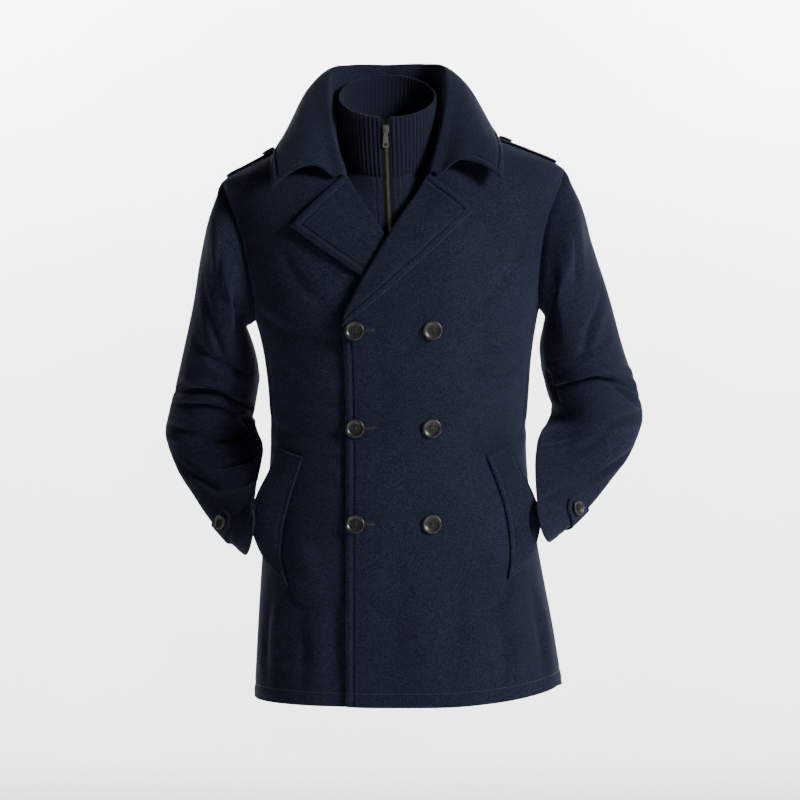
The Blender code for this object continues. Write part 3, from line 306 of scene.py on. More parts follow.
# A crease's row: its width, its height, then its line, point by point: as turns and heights
# on the torso, and as shares of the length and degrees on the sleeves.
TORSO_FOLDS = {
    "right": (
        (7, -3.2, -50.7, -612, -46.3, -643, -38, -664, -25, -658),
        (9, -2.4, -69, -262, -46.3, -290, -29.2, -304, -18, -303),
        (8, -2.2, -90, -405, -53, -428, -24, -428),
        (9, -1.6, -80, -440, -52, -462, -32, -455),
        (7, -1.5, -44, -372, -26.4, -386, -18.9, -380),
        (10, -2.6, -41, -676, -36.3, -720, -38.2, -778),
        (12, -2.2, -24.3, -630, -20.9, -705, -23.1, -780),
        (13, -3, -62, -650, -66, -700, -63, -770),
        (9, -1.9, -40, -165, -34.6, -215, -24.2, -262),
        (9, -1.7, -58, -330, -44, -352, -25, -350),
        (13, 3.4, -46, -585, -38, -595, -33, -620),
        (10, -2, -74, -330, -76, -380, -73, -420),
    ),
    "left": (
        (9, -2.4, 70, -276, 45.7, -304, 29.2, -306, 16, -296),
        (9, -2, 50, -170, 41.1, -224, 28, -259, 15.8, -278),
        (8, -2.2, 90, -412, 49, -436, 25.6, -435, 14.5, -427),
        (8, -1.7, 14.4, -380, 35.8, -394, 62.9, -378),
        (8, -2.6, 48.2, -615, 41.9, -650, 33.6, -668, 24.1, -658),
        (11, -2.8, 39, -676, 38.2, -734, 33.6, -778),
        (12, -1.6, 1.4, -560, -0.3, -650, 1.6, -780),
        (12, -2.2, 20.6, -590, 19, -678, 15.3, -780),
        (9, -1.2, -5.6, -307, -3.5, -381, -6.3, -476),
        (13, -3, 60, -640, 63, -700, 60, -765),
        (13, 3, 45, -590, 38, -600, 33, -622),
        (9, -1.6, 60, -330, 44, -350, 30, -346),
        (10, -2, 75, -330, 77, -380, 73, -420),
    ),
    "back": (
        (11, -3, -105, -300, -125, -350, -150, -372, -176, -372),
        (11, -2.8, 105, -285, 128, -340, 152, -362, 180, -362),
        (10, -3.2, -96, -400, -128, -428, -160, -436, -186, -432),
        (10, -3, 96, -395, 130, -420, 158, -428, 182, -425),
        (9, -2.4, -112, -462, -140, -476, -166, -470),
        (9, -2.2, 115, -455, 143, -470, 170, -462),
        (16, -3.6, -150, -520, -147, -640, -152, -775),
        (16, -3.4, 152, -530, 148, -650, 153, -775),
        (14, -3, -120, -560, -117, -660, -121, -770),
        (14, -3, 122, -570, 118, -670, 121, -765),
        (15, -2.2, -178, -540, -176, -660, -179, -780),
        (12, -2.6, -122, -130, -132, -190, -126, -262),
        (12, -2.6, 122, -115, 133, -180, 127, -250),
        (10, -2, -165, -60, -180, -76, -197, -62),
    ),
}
SLEEVE_FOLDS = {
    Side.RIGHT: (
        (5.5, -8, 0.52, 5, 0.49, 55, 0.484, 95, 0.508, 128, 0.545, 165),
        (5, -5, 0.545, 10, 0.525, 60, 0.52, 95, 0.54, 135),
        (7, 2.8, 0.47, 35, 0.462, 80, 0.468, 110),
        (7, -4, 0.6, 15, 0.59, 60, 0.604, 100),
        (6, -4.2, 0.69, 100, 0.722, 140, 0.775, 172),
        (6, -4.8, 0.612, 95, 0.63, 135, 0.648, 178),
        (6.5, -5, 0.56, 140, 0.6, 165, 0.655, 185),
        (5.5, -3, 0.79, 100, 0.808, 132, 0.845, 160),
        (5, -2.2, 0.88, 85, 0.898, 115, 0.905, 140),
        (9, -2.8, 0.235, 48, 0.306, 78, 0.395, 102),
        (9, -3.4, 0.06, 118, 0.16, 128, 0.288, 117),
        (8, -3.6, 0.372, 50, 0.396, 90, 0.404, 140),
        (8, -3, 0.68, 55, 0.722, 80, 0.775, 92),
        (9, -2.2, 0.05, 70, 0.12, 82, 0.2, 86),
        (8, -4.4, 0.43, 200, 0.47, 250, 0.46, 300),
        (8, -4.6, 0.6, 190, 0.63, 240, 0.62, 290),
        (7, -4, 0.54, 250, 0.56, 300, 0.55, 345),
        (10, -3.4, 0.2, 230, 0.28, 260, 0.36, 270),
        (8, -3.6, 0.74, 215, 0.77, 260, 0.8, 300),
    ),
    Side.LEFT: (
        (5.5, -8, 0.5, 150, 0.482, 110, 0.482, 75, 0.522, 32, 0.56, 5),
        (7, 3.4, 0.475, 135, 0.452, 80, 0.468, 40, 0.5, 6),
        (5.5, -4.6, 0.494, 70, 0.545, 42, 0.58, 22),
        (7, -4, 0.6, 20, 0.592, 62, 0.61, 100),
        (6.5, -4.6, 0.44, 155, 0.48, 152, 0.545, 147),
        (6, -4.4, 0.79, 184, 0.706, 160, 0.645, 132),
        (6.5, -4, 0.752, 145, 0.694, 120, 0.64, 98),
        (8, -3.2, 0.29, 42, 0.344, 75, 0.412, 95),
        (9, -3.4, 0.05, 115, 0.14, 135, 0.312, 127),
        (9, -2.6, 0.062, 66, 0.15, 70, 0.22, 86),
        (5.5, -2.6, 0.935, 126, 0.869, 112, 0.83, 104),
        (7, -3.2, 0.395, 55, 0.41, 100, 0.4, 140),
        (8, -3, 0.69, 40, 0.72, 70, 0.78, 85),
        (8, -4.4, 0.43, 200, 0.47, 250, 0.46, 300),
        (8, -4.6, 0.6, 195, 0.63, 245, 0.62, 290),
        (7, -4, 0.54, 250, 0.56, 300, 0.55, 345),
        (10, -3.4, 0.2, 230, 0.28, 260, 0.36, 270),
        (8, -3.6, 0.74, 215, 0.77, 260, 0.8, 300),
    ),
}


@dataclass(frozen=True)
class Crease:
    """A soft trough or ridge of cloth along a line, with a faint lip beside it.

    The line is in the sheet's own two coordinates. A negative height is a trough; the
    crease fades out towards both ends.
    """

    line: tuple[tuple[float, float], ...]
    width: float
    height: float
    lip: float

    def read(self, across: Array, up: Array) -> Array:
        """Height at places: a bell of the distance from the line, times a fade at its ends.

        Args:
            across: first coordinate of the places.
            up: second coordinate of the places.

        Returns:
            The height.
        """
        knots = np.linspace(0, 1, len(self.line))
        path = smooth(knots, np.array(self.line, float), np.linspace(0, 1, 33))
        starts = path[:-1]
        steps = path[1:] - starts
        lengths = np.linalg.norm(steps, axis=1)
        begun = np.concatenate([[0.0], np.cumsum(lengths)])
        best = np.full(across.shape, 1e9)
        offset = np.zeros(across.shape)
        along = np.zeros(across.shape)
        for start, step, length, run in zip(starts, steps, lengths, begun):
            from_x = across - start[0]
            from_y = up - start[1]
            part = np.clip((from_x * step[0] + from_y * step[1]) / length**2, 0, 1)
            gap = np.hypot(from_x - part * step[0], from_y - part * step[1])
            side = np.sign(step[0] * from_y - step[1] * from_x)
            nearer = gap < best
            best = np.where(nearer, gap, best)
            offset = np.where(nearer, gap * side, offset)
            along = np.where(nearer, (run + part * length) / begun[-1], along)
        fade = np.sin(math.pi * np.clip(0.06 + along * 0.88, 0, 1)) ** 0.8
        lip = bell(offset, 2.1 * self.width, 1.3 * self.width)
        return self.height * fade * (bell(best, 0.0, self.width) - self.lip * lip)


def creased(rows: tuple[tuple[float, ...], ...], scale: Callable[[float, float], tuple[float, float]],
            depth: float, ridge_lip: float, across: Array, up: Array) -> Array:
    """Sum of the heights of several creases at places of a sheet.

    Args:
        rows: the creases' rows.
        scale: turns a point of a row into the sheet's two coordinates.
        depth: factor on the heights.
        ridge_lip: lip of the creases that are ridges.
        across: first coordinate of the places.
        up: second coordinate of the places.

    Returns:
        The height.
    """
    places = np.broadcast_arrays(across, up)
    total = np.zeros(places[0].shape)
    for width, height, *line in rows:
        path = tuple(scale(*point) for point in zip(line[::2], line[1::2]))
        lip = TROUGH_LIP if height < 0 else ridge_lip
        total = total + Crease(path, width, height * depth, lip).read(*places)
    return total


# ---------- finishes
class NodeSheet:
    """The shader nodes of one material."""

    def __init__(self, name: str, **values: float) -> None:
        """Make the material and its shader.

        Args:
            name: the material's name.
            values: constant inputs of the shader; underscores stand for spaces.
        """
        self.material = bpy.data.materials.new(name)
        self.material.use_nodes = True
        self.tree = self.material.node_tree
        self.tree.nodes.clear()
        self.shader = self.tree.nodes.new("ShaderNodeBsdfPrincipled")
        output = self.tree.nodes.new("ShaderNodeOutputMaterial")
        self.tree.links.new(self.shader.outputs["BSDF"], output.inputs["Surface"])
        self.place = self.tree.nodes.new("ShaderNodeTexCoord").outputs["Object"]
        for socket, value in values.items():
            self.shader.inputs[socket.replace("_", " ")].default_value = value

    def node(self, kind: str, inputs: dict[str | int, Socket | float | Colour]) -> bpy.types.Node:
        """Add a node and join or set its inputs.

        Args:
            kind: the node's type, without its prefix.
            inputs: for each input, a socket to join or a value to set.

        Returns:
            The node.
        """
        made = self.tree.nodes.new(f"ShaderNode{kind}")
        for name, value in inputs.items():
            if isinstance(value, bpy.types.NodeSocket):
                self.tree.links.new(value, made.inputs[name])
            else:
                made.inputs[name].default_value = value
        return made

    def noise(self, scale: float, detail: float, roughness: float = 0.5,
              stretch: Colour | None = None) -> Socket:
        """Soft noise.

        Args:
            scale: its fineness, in cells a metre.
            detail: its number of finer layers.
            roughness: how strong the finer layers are.
            stretch: scale of the coordinates along each axis.

        Returns:
            The noise, 0 to 1.
        """
        place = self.place
        if stretch:
            place = self.node("Mapping", {"Vector": place, "Scale": stretch}).outputs["Vector"]
        made = self.node("TexNoise", {"Vector": place, "Scale": scale, "Detail": detail,
                                      "Roughness": roughness})
        return made.outputs["Fac"]

    def ramp(self, source: Socket, low: float, dark: Colour | float, high: float,
             light: Colour | float) -> Socket:
        """Blend from one colour or grey to another.

        Args:
            source: the value that picks the blend.
            low: its value at the first colour.
            dark: the first colour.
            high: its value at the second colour.
            light: the second colour.

        Returns:
            The colour.
        """
        made = self.node("ValToRGB", {"Fac": source})
        stops = zip(made.color_ramp.elements, (low, high), (dark, light))
        for element, place, colour in stops:
            element.position = place
            element.color = (*np.broadcast_to(colour, 3).tolist(), 1.0)
        return made.outputs["Color"]

    def multiply(self, first: Socket, second: Socket) -> Socket:
        """The product of two colours."""
        made = self.node("Mix", {0: 1.0})
        made.data_type = "RGBA"
        made.blend_type = "MULTIPLY"
        self.tree.links.new(first, made.inputs[6])
        self.tree.links.new(second, made.inputs[7])
        return made.outputs[2]

    def maths(self, operation: str, first: Socket, second: Socket | float = 0.0) -> Socket:
        """One sum on one or two values."""
        made = self.node("Math", {0: first, 1: second})
        made.operation = operation
        return made.outputs[0]

    def bump(self, height: Socket, strength: float, depth: float,
             under: Socket | None = None) -> Socket:
        """Tilt the surface by a height.

        Args:
            height: the height, 0 to 1.
            strength: how much of the tilt is used.
            depth: what a height of 1 stands for, in metres.
            under: a tilt that this one is added to.

        Returns:
            The tilted normal.
        """
        inputs = {"Strength": strength, "Distance": depth, "Height": height}
        if under:
            inputs["Normal"] = under
        return self.node("Bump", inputs).outputs["Normal"]

    def dressed(self, colour: Socket, rough: Socket | None = None,
                normal: Socket | None = None) -> Material:
        """Join what varies over the surface to the shader.

        Args:
            colour: the colour.
            rough: the roughness, where it varies.
            normal: the tilted normal, where there is one.

        Returns:
            The finished material.
        """
        for name, source in (("Base Color", colour), ("Roughness", rough), ("Normal", normal)):
            if source:
                self.tree.links.new(source, self.shader.inputs[name])
        return self.material


@dataclass(frozen=True)
class MeltonFinish:
    """Felted navy wool: two close blues under a fine grain, a nap and faint clouds."""

    name: str = "navy_melton"
    dark: Colour = (0.0025, 0.0034, 0.0090)
    light: Colour = (0.0148, 0.0178, 0.0345)
    bloom: Colour = (0.50, 0.60, 0.95)
    grain: float = 500.0
    nap: float = 210.0
    clouds: float = 9.0

    def build(self) -> Material:
        """Make the material."""
        sheet = NodeSheet(self.name, IOR=1.42, Specular_IOR_Level=0.10, Sheen_Weight=0.06,
                          Sheen_Roughness=0.5)
        sheet.shader.inputs["Sheen Tint"].default_value = (*self.bloom, 1.0)
        fine = sheet.noise(self.grain, 3.0, 0.62)
        broad = sheet.noise(self.nap, 3.0, 0.55)
        tint = sheet.ramp(sheet.noise(self.clouds, 3.0), 0.30, (0.86, 0.86, 0.88),
                          0.72, (1.12, 1.12, 1.10))
        colour = sheet.multiply(sheet.ramp(fine, 0.32, self.dark, 0.70, self.light), tint)
        colour = sheet.multiply(colour, sheet.ramp(broad, 0.32, 0.93, 0.70, 1.07))
        normal = sheet.bump(broad, 0.35, 0.0016, sheet.bump(fine, 0.60, 0.0010))
        return sheet.dressed(colour, sheet.ramp(broad, 0.3, 0.90, 0.7, 0.99), normal)


@dataclass(frozen=True)
class RibKnitFinish:
    """Rib knit: rows of small slanted loops on the piece's own knit coordinates."""

    name: str = "navy_rib_knit"
    dark: Colour = (0.0018, 0.0025, 0.0065)
    light: Colour = (0.0105, 0.0130, 0.0275)
    slant: float = 1.6
    fuzz: float = 900.0

    def build(self) -> Material:
        """Make the material; its first coordinate counts ribs and its second counts rows."""
        sheet = NodeSheet(self.name, IOR=1.42, Specular_IOR_Level=0.10, Sheen_Weight=0.06,
                          Sheen_Roughness=0.5)
        knit = sheet.node("UVMap", {})
        knit.uv_map = "knit"
        split = sheet.node("SeparateXYZ", {"Vector": knit.outputs["UV"]})
        rib = sheet.maths("SUBTRACT", sheet.maths("FRACT", split.outputs["X"]), 0.5)
        slant = sheet.maths("MULTIPLY", sheet.maths("ABSOLUTE", rib), self.slant)
        row = sheet.maths("ADD", split.outputs["Y"], slant)
        loop = sheet.maths("SINE", sheet.maths("MULTIPLY", row, 2 * math.pi))
        loop = sheet.maths("ADD", sheet.maths("MULTIPLY", loop, 0.5), 0.5)
        fuzz = sheet.noise(self.fuzz, 2.0, 0.6)
        mixed = sheet.maths("ADD", sheet.maths("MULTIPLY", loop, 0.6),
                            sheet.maths("MULTIPLY", fuzz, 0.4))
        return sheet.dressed(sheet.ramp(mixed, 0.15, self.dark, 0.85, self.light),
                             sheet.ramp(fuzz, 0.3, 0.88, 0.7, 0.98),
                             sheet.bump(mixed, 0.5, 0.0007))


@dataclass(frozen=True)
class HornFinish:
    """Polished dark horn with faint cloudy streaks."""

    name: str = "dark_horn"
    dark: Colour = (0.0030, 0.0029, 0.0028)
    light: Colour = (0.017, 0.0155, 0.0135)
    streaks: float = 60.0
    wear: float = 420.0

    def build(self) -> Material:
        """Make the material."""
        sheet = NodeSheet(self.name, IOR=1.54, Specular_IOR_Level=0.35, Coat_Weight=0.2,
                          Coat_Roughness=0.16)
        streaks = sheet.noise(self.streaks, 4.0, 0.6, (1.0, 1.0, 4.0))
        wear = sheet.noise(self.wear, 3.0, 0.6)
        return sheet.dressed(sheet.ramp(streaks, 0.35, self.dark, 0.70, self.light),
                             sheet.ramp(wear, 0.3, 0.30, 0.7, 0.46),
                             sheet.bump(wear, 0.06, 0.0003))


@dataclass(frozen=True)
class TapeFinish:
    """Woven black tape: fine ribs across its length."""

    name: str = "black_tape"
    dark: Colour = (0.0015, 0.0015, 0.0020)
    light: Colour = (0.0060, 0.0060, 0.0075)
    weave: float = 1000.0

    def build(self) -> Material:
        """Make the material."""
        sheet = NodeSheet(self.name, IOR=1.45, Specular_IOR_Level=0.12, Sheen_Weight=0.02)
        weave = sheet.noise(self.weave, 1.0, 0.5, (0.4, 0.4, 1.6))
        return sheet.dressed(sheet.ramp(weave, 0.3, self.dark, 0.7, self.light),
                             sheet.ramp(weave, 0.3, 0.70, 0.7, 0.85),
                             sheet.bump(weave, 0.3, 0.0004))


@dataclass(frozen=True)
class GunmetalFinish:
    """Dark plated metal, brightened where it is rubbed."""

    name: str = "gunmetal"
    dark: Colour = (0.110, 0.110, 0.114)
    light: Colour = (0.340, 0.336, 0.330)
    rub: float = 330.0

    def build(self) -> Material:
        """Make the material."""
        sheet = NodeSheet(self.name, IOR=1.5, Metallic=1.0)
        rub = sheet.noise(self.rub, 4.0, 0.6)
        return sheet.dressed(sheet.ramp(rub, 0.3, self.dark, 0.75, self.light),
                             sheet.ramp(rub, 0.3, 0.48, 0.75, 0.30),
                             sheet.bump(rub, 0.08, 0.0002))


@dataclass(frozen=True)
class ThreadFinish:
    """Twisted sewing thread a little darker or lighter than its cloth."""

    name: str
    dark: Colour
    light: Colour
    twist: float = 1500.0

    def build(self) -> Material:
        """Make the material."""
        sheet = NodeSheet(self.name, IOR=1.45, Specular_IOR_Level=0.3, Sheen_Weight=0.2)
        twist = sheet.noise(self.twist, 1.0)
        return sheet.dressed(sheet.ramp(twist, 0.3, self.dark, 0.7, self.light),
                             sheet.ramp(twist, 0.3, 0.60, 0.7, 0.80))


@dataclass(frozen=True)
class PaperFinish:
    """The pale matt paper of a studio backdrop."""

    name: str = "studio_paper"
    dark: Colour = (0.86, 0.86, 0.86)
    light: Colour = (0.90, 0.90, 0.90)
    mottle: float = 1.5

    def build(self) -> Material:
        """Make the material."""
        sheet = NodeSheet(self.name, Specular_IOR_Level=0.1, Roughness=0.9)
        return sheet.dressed(sheet.ramp(sheet.noise(self.mottle, 2.0), 0.3, self.dark,
                                        0.7, self.light))


class Finishes:
    """Every material of the coat, made once."""

    def __init__(self) -> None:
        """Make the materials."""
        self.melton = MeltonFinish().build()
        self.knit = RibKnitFinish().build()
        self.horn = HornFinish().build()
        self.tape = TapeFinish().build()
        self.metal = GunmetalFinish().build()
        self.seam_thread = ThreadFinish(
            "seam_thread", (0.007, 0.009, 0.016), (0.016, 0.020, 0.034)).build()
        self.button_thread = ThreadFinish(
            "button_thread", (0.004, 0.004, 0.006), (0.012, 0.012, 0.015)).build()


# ---------- meshes
def quads(first: Array, second: Array, third: Array, fourth: Array) -> Array:
    """Join four arrays of corners into rows of faces."""
    return np.stack([first, second, third, fourth], axis=-1).reshape(-1, 4)


def grid_faces(index: Array) -> Array:
    """Faces of a grid of vertex numbers."""
    return quads(index[:-1, :-1], index[:-1, 1:], index[1:, 1:], index[1:, :-1])


def closed(index: Array) -> Array:
    """A grid of vertex numbers with its first column again at the end."""
    return np.concatenate([index, index[:, :1]], axis=1)


def capped_faces(rings: int, around: int, first: int = 0) -> list[list[int]]:
    """Faces of a tube: its wall, then a fan over each end.

    Args:
        rings: its number of rings, whose points come ring by ring.
        around: points in a ring; the middles of the first and the last end follow the rings.
        first: number of its first vertex.

    Returns:
        The faces.
    """
    index = closed(np.arange(rings * around).reshape(rings, around)) + first
    cap = first + rings * around
    start, end = index[0].tolist(), index[-1].tolist()
    faces = grid_faces(index)[:, ::-1].tolist()
    faces += [[cap, a, b] for a, b in zip(start, start[1:])]
    return faces + [[cap + 1, b, a] for a, b in zip(end, end[1:])]


def grid_normals(points: Array, wrap: bool = False) -> Array:
    """Directions square to a grid: the cross product of its steps along columns and rows."""
    beside = [np.roll(points, step, axis=1) for step in (-1, 1)]
    across = beside[0] - beside[1] if wrap else np.gradient(points, axis=1)
    return unit(np.cross(across, np.gradient(points, axis=0)))


def put(name: str, data: bpy.types.ID) -> bpy.types.Object:
    """Put a mesh, light or camera into the scene as an object at the origin."""
    obj = bpy.data.objects.new(name, data)
    bpy.context.scene.collection.objects.link(obj)
    return obj


def put_piece(name: str, mesh: bpy.types.Mesh) -> bpy.types.Object:
    """Put a mesh into the scene as a piece that the coat carries."""
    obj = put(name, mesh)
    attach(obj, COAT)
    return obj


def new_mesh(name: str, points: Array, faces: list[list[int]],
             material: Material) -> bpy.types.Mesh:
    """Make a mesh, shaded smooth.

    Args:
        name: its name.
        points: its vertices, in millimetres.
        faces: the vertex numbers of each face.
        material: its finish.

    Returns:
        The mesh.
    """
    mesh = bpy.data.meshes.new(name)
    mesh.from_pydata((points.reshape(-1, 3) * MM).tolist(), [], faces)
    mesh.materials.append(material)
    mesh.shade_smooth()
    return mesh


@dataclass
class Shell:
    """A wall of cloth with rounded rims, made inwards from a grid of its outer face.

    The rim is a ring of points half way through the wall, pushed out past the two faces.
    """

    points: Array
    flip: bool = False
    thickness: float = CLOTH
    wrap: bool = False
    rounding: float = 0.42
    inside: Array | None = None

    def __post_init__(self) -> None:
        """Find the outward directions."""
        self.normals = grid_normals(self.points, self.wrap) * (-1.0 if self.flip else 1.0)

    def raised(self, height: Array, inner: float = 0.75) -> "Shell":
        """Move the wall out by a height; the inner face follows by a share of it.

        Args:
            height: distance for every point of the grid.
            inner: share of it that the inner face takes.

        Returns:
            This shell.
        """
        self.inside = self.points + self.normals * (height * inner - self.thickness)[..., None]
        self.points = self.points + self.normals * height[..., None]
        return self

    def geometry(self) -> tuple[Array, Array]:
        """Vertices and faces of the closed wall: two grids joined by a ring at each border.

        Returns:
            The vertices and the faces.
        """
        if self.inside is None:
            self.raised(np.zeros(self.points.shape[:2]))
        rows, columns = self.points.shape[:2]
        count = rows * columns
        index = np.arange(count).reshape(rows, columns)
        if self.wrap:
            index = closed(index)
            edges = [(index[0, ::-1], index[1, ::-1]), (index[-1], index[-2])]
        else:
            ring = np.concatenate([index[0, ::-1], index[1:, 0], index[-1, 1:], index[-2:0:-1, -1]])
            inward = np.concatenate([index[1, ::-1], index[1:, 1], index[-2, 1:], index[-2:0:-1, -2]])
            edges = [(np.append(ring, ring[0]), np.append(inward, inward[0]))]
        both = np.concatenate([self.points.reshape(-1, 3), self.inside.reshape(-1, 3)])
        points = [both]
        faces = [grid_faces(index), grid_faces(index + count)[:, ::-1]]
        extra = 2 * count
        for edge, inner in edges:
            ring = edge[:-1]
            face = unit(both[ring] - both[inner[:-1]])
            middle = (both[ring] + both[ring + count]) / 2
            points.append(middle + face * self.thickness * self.rounding)
            mid = extra + np.arange(len(ring))
            mid = np.append(mid, mid[0])
            extra += len(ring)
            faces.append(quads(edge[:-1], edge[1:], mid[1:], mid[:-1]))
            faces.append(quads(mid[:-1], mid[1:], edge[1:] + count, edge[:-1] + count))
        faces = np.concatenate(faces)
        return np.concatenate(points), faces[:, ::-1] if self.flip else faces

    def build(self, name: str, material: Material, slot: str,
              flat: tuple[float, float], area: float, node: str = "",
              held: str = "hung") -> bpy.types.Object:
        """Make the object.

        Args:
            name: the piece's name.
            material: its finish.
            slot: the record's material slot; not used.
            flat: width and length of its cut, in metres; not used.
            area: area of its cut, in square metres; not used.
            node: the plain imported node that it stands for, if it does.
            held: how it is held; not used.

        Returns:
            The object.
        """
        points, faces = self.geometry()
        mesh = new_mesh(name, points, faces.tolist(), material)
        mesh.validate()
        obj = put_piece(name, mesh)
        if node:
            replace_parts(obj, node)
        return obj

    def sew(self, node: str, finishes: Finishes, flat: tuple[float, float], area: float,
            held: str = "hung") -> None:
        """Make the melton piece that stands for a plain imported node; its cut is in metres."""
        self.build(f"cloth_{node}", finishes.melton, "navy_melton", flat, area, node, held)


def edge_distance(points: Array, border: Border) -> Array:
    """Distance of every grid point from one border, measured along the grid lines.

    Args:
        points: grid of points, rows by columns.
        border: which border.

    Returns:
        One distance a point.
    """
    axis, last = border.value
    steps = np.linalg.norm(np.diff(points, axis=axis), axis=-1)
    pad = [(1, 0), (0, 0)] if axis == 0 else [(0, 0), (1, 0)]
    run = np.cumsum(np.pad(steps, pad), axis=axis)
    return run.max(axis=axis, keepdims=True) - run if last else run


def stitched(distance: Array, inset: float = INSET, depth: float = 1.6,
             puff: float = 0.8) -> Array:
    """Height beside a stitched edge: a narrow groove with puffed cloth on its two sides.

    Args:
        distance: distance from the edge.
        inset: distance of the stitching from the edge.
        depth: depth of the groove.
        puff: height of the cloth between the groove and the edge.

    Returns:
        The height.
    """
    groove = -depth * bell(distance, inset, 1.7)
    band = puff * ease(distance, 0.5, inset * 0.45) * (1 - ease(distance, inset * 0.55, inset))
    return groove + band + puff * 0.4 * bell(distance, inset + 4.0, 2.6)


def contour(points: Array, distance: Array, inset: float, axis: int) -> Array:
    """The line on a grid that lies a given distance from a border.

    Args:
        points: grid of points.
        distance: distance of each from the border.
        inset: the distance wanted.
        axis: 0 where the distance grows along rows, 1 where it grows along columns.

    Returns:
        The line's points.
    """
    if axis == 0:
        points = points.swapaxes(0, 1)
        distance = distance.T
    if distance[:, 0].mean() > distance[:, -1].mean():
        points = points[:, ::-1]
        distance = distance[:, ::-1]
    after = np.clip((distance < inset).sum(axis=1), 1, distance.shape[1] - 1)
    rows = np.arange(len(points))
    low = distance[rows, after - 1]
    high = distance[rows, after]
    part = np.clip((inset - low) / np.maximum(high - low, 1e-6), 0, 1)[:, None]
    return points[rows, after - 1] * (1 - part) + points[rows, after] * part


@dataclass
class Stitches:
    """Rows of short thread stitches, gathered into one piece."""

    share: float = 0.72
    radius: float = 0.36
    sides: int = 6
    taper: tuple[tuple[float, float], ...] = (
        (0.0, 0.25), (0.14, 0.9), (0.5, 1.0), (0.86, 0.9), (1.0, 0.25))
    starts: list[Array] = field(default_factory=list)
    ends: list[Array] = field(default_factory=list)

    def row(self, line: Array, pitch: float = 4.4) -> None:
        """Lay stitches along a line of points.

        Args:
            line: points of the seam.
            pitch: distance from one stitch to the next.
        """
        steps = np.linalg.norm(np.diff(line, axis=0), axis=1)
        run = np.concatenate([[0.0], np.cumsum(steps)])
        begin = (np.arange(int(run[-1] / pitch)) + 0.5 * (1 - self.share)) * pitch
        for places, kept in ((begin, self.starts), (begin + pitch * self.share, self.ends)):
            kept.append(np.stack([np.interp(places, run, line[:, i]) for i in range(3)], -1))

    def build(self, name: str, material: Material, slot: str) -> None:
        """Make the piece: each stitch is a tube with pinched, closed ends.

        Args:
            name: the piece's name.
            material: thread finish.
            slot: the record's material slot; not used.
        """
        start = np.concatenate(self.starts)
        end = np.concatenate(self.ends)
        axis = unit(end - start)
        side = unit(np.cross(axis, np.array([0.11, 0.23, 0.97])))
        up = np.cross(axis, side)
        angle = np.arange(self.sides) * 2 * math.pi / self.sides
        circle = side[:, None] * np.cos(angle)[:, None] + up[:, None] * np.sin(angle)[:, None]
        rings = [(start + (end - start) * place)[:, None] + circle * self.radius * wide
                 for place, wide in self.taper]
        count = len(start)
        walls = np.stack(rings, axis=1).reshape(count, -1, 3)
        points = np.concatenate([walls, np.stack([start, end], axis=1)], axis=1)
        index = closed(np.arange(walls.shape[1]).reshape(-1, self.sides))
        near, far = index[0], index[-1]
        cap = walls.shape[1]
        first = np.stack([np.full(self.sides, cap), near[1:], near[:-1]], axis=-1)
        last = np.stack([np.full(self.sides, cap + 1), far[:-1], far[1:]], axis=-1)
        base = (np.arange(count) * (cap + 2))[:, None, None]
        walls = (grid_faces(index)[None] + base).reshape(-1, 4).tolist()
        ends = (np.concatenate([first, last])[None] + base).reshape(-1, 3).tolist()
        put_piece(name, new_mesh(name, points, walls + ends, material))


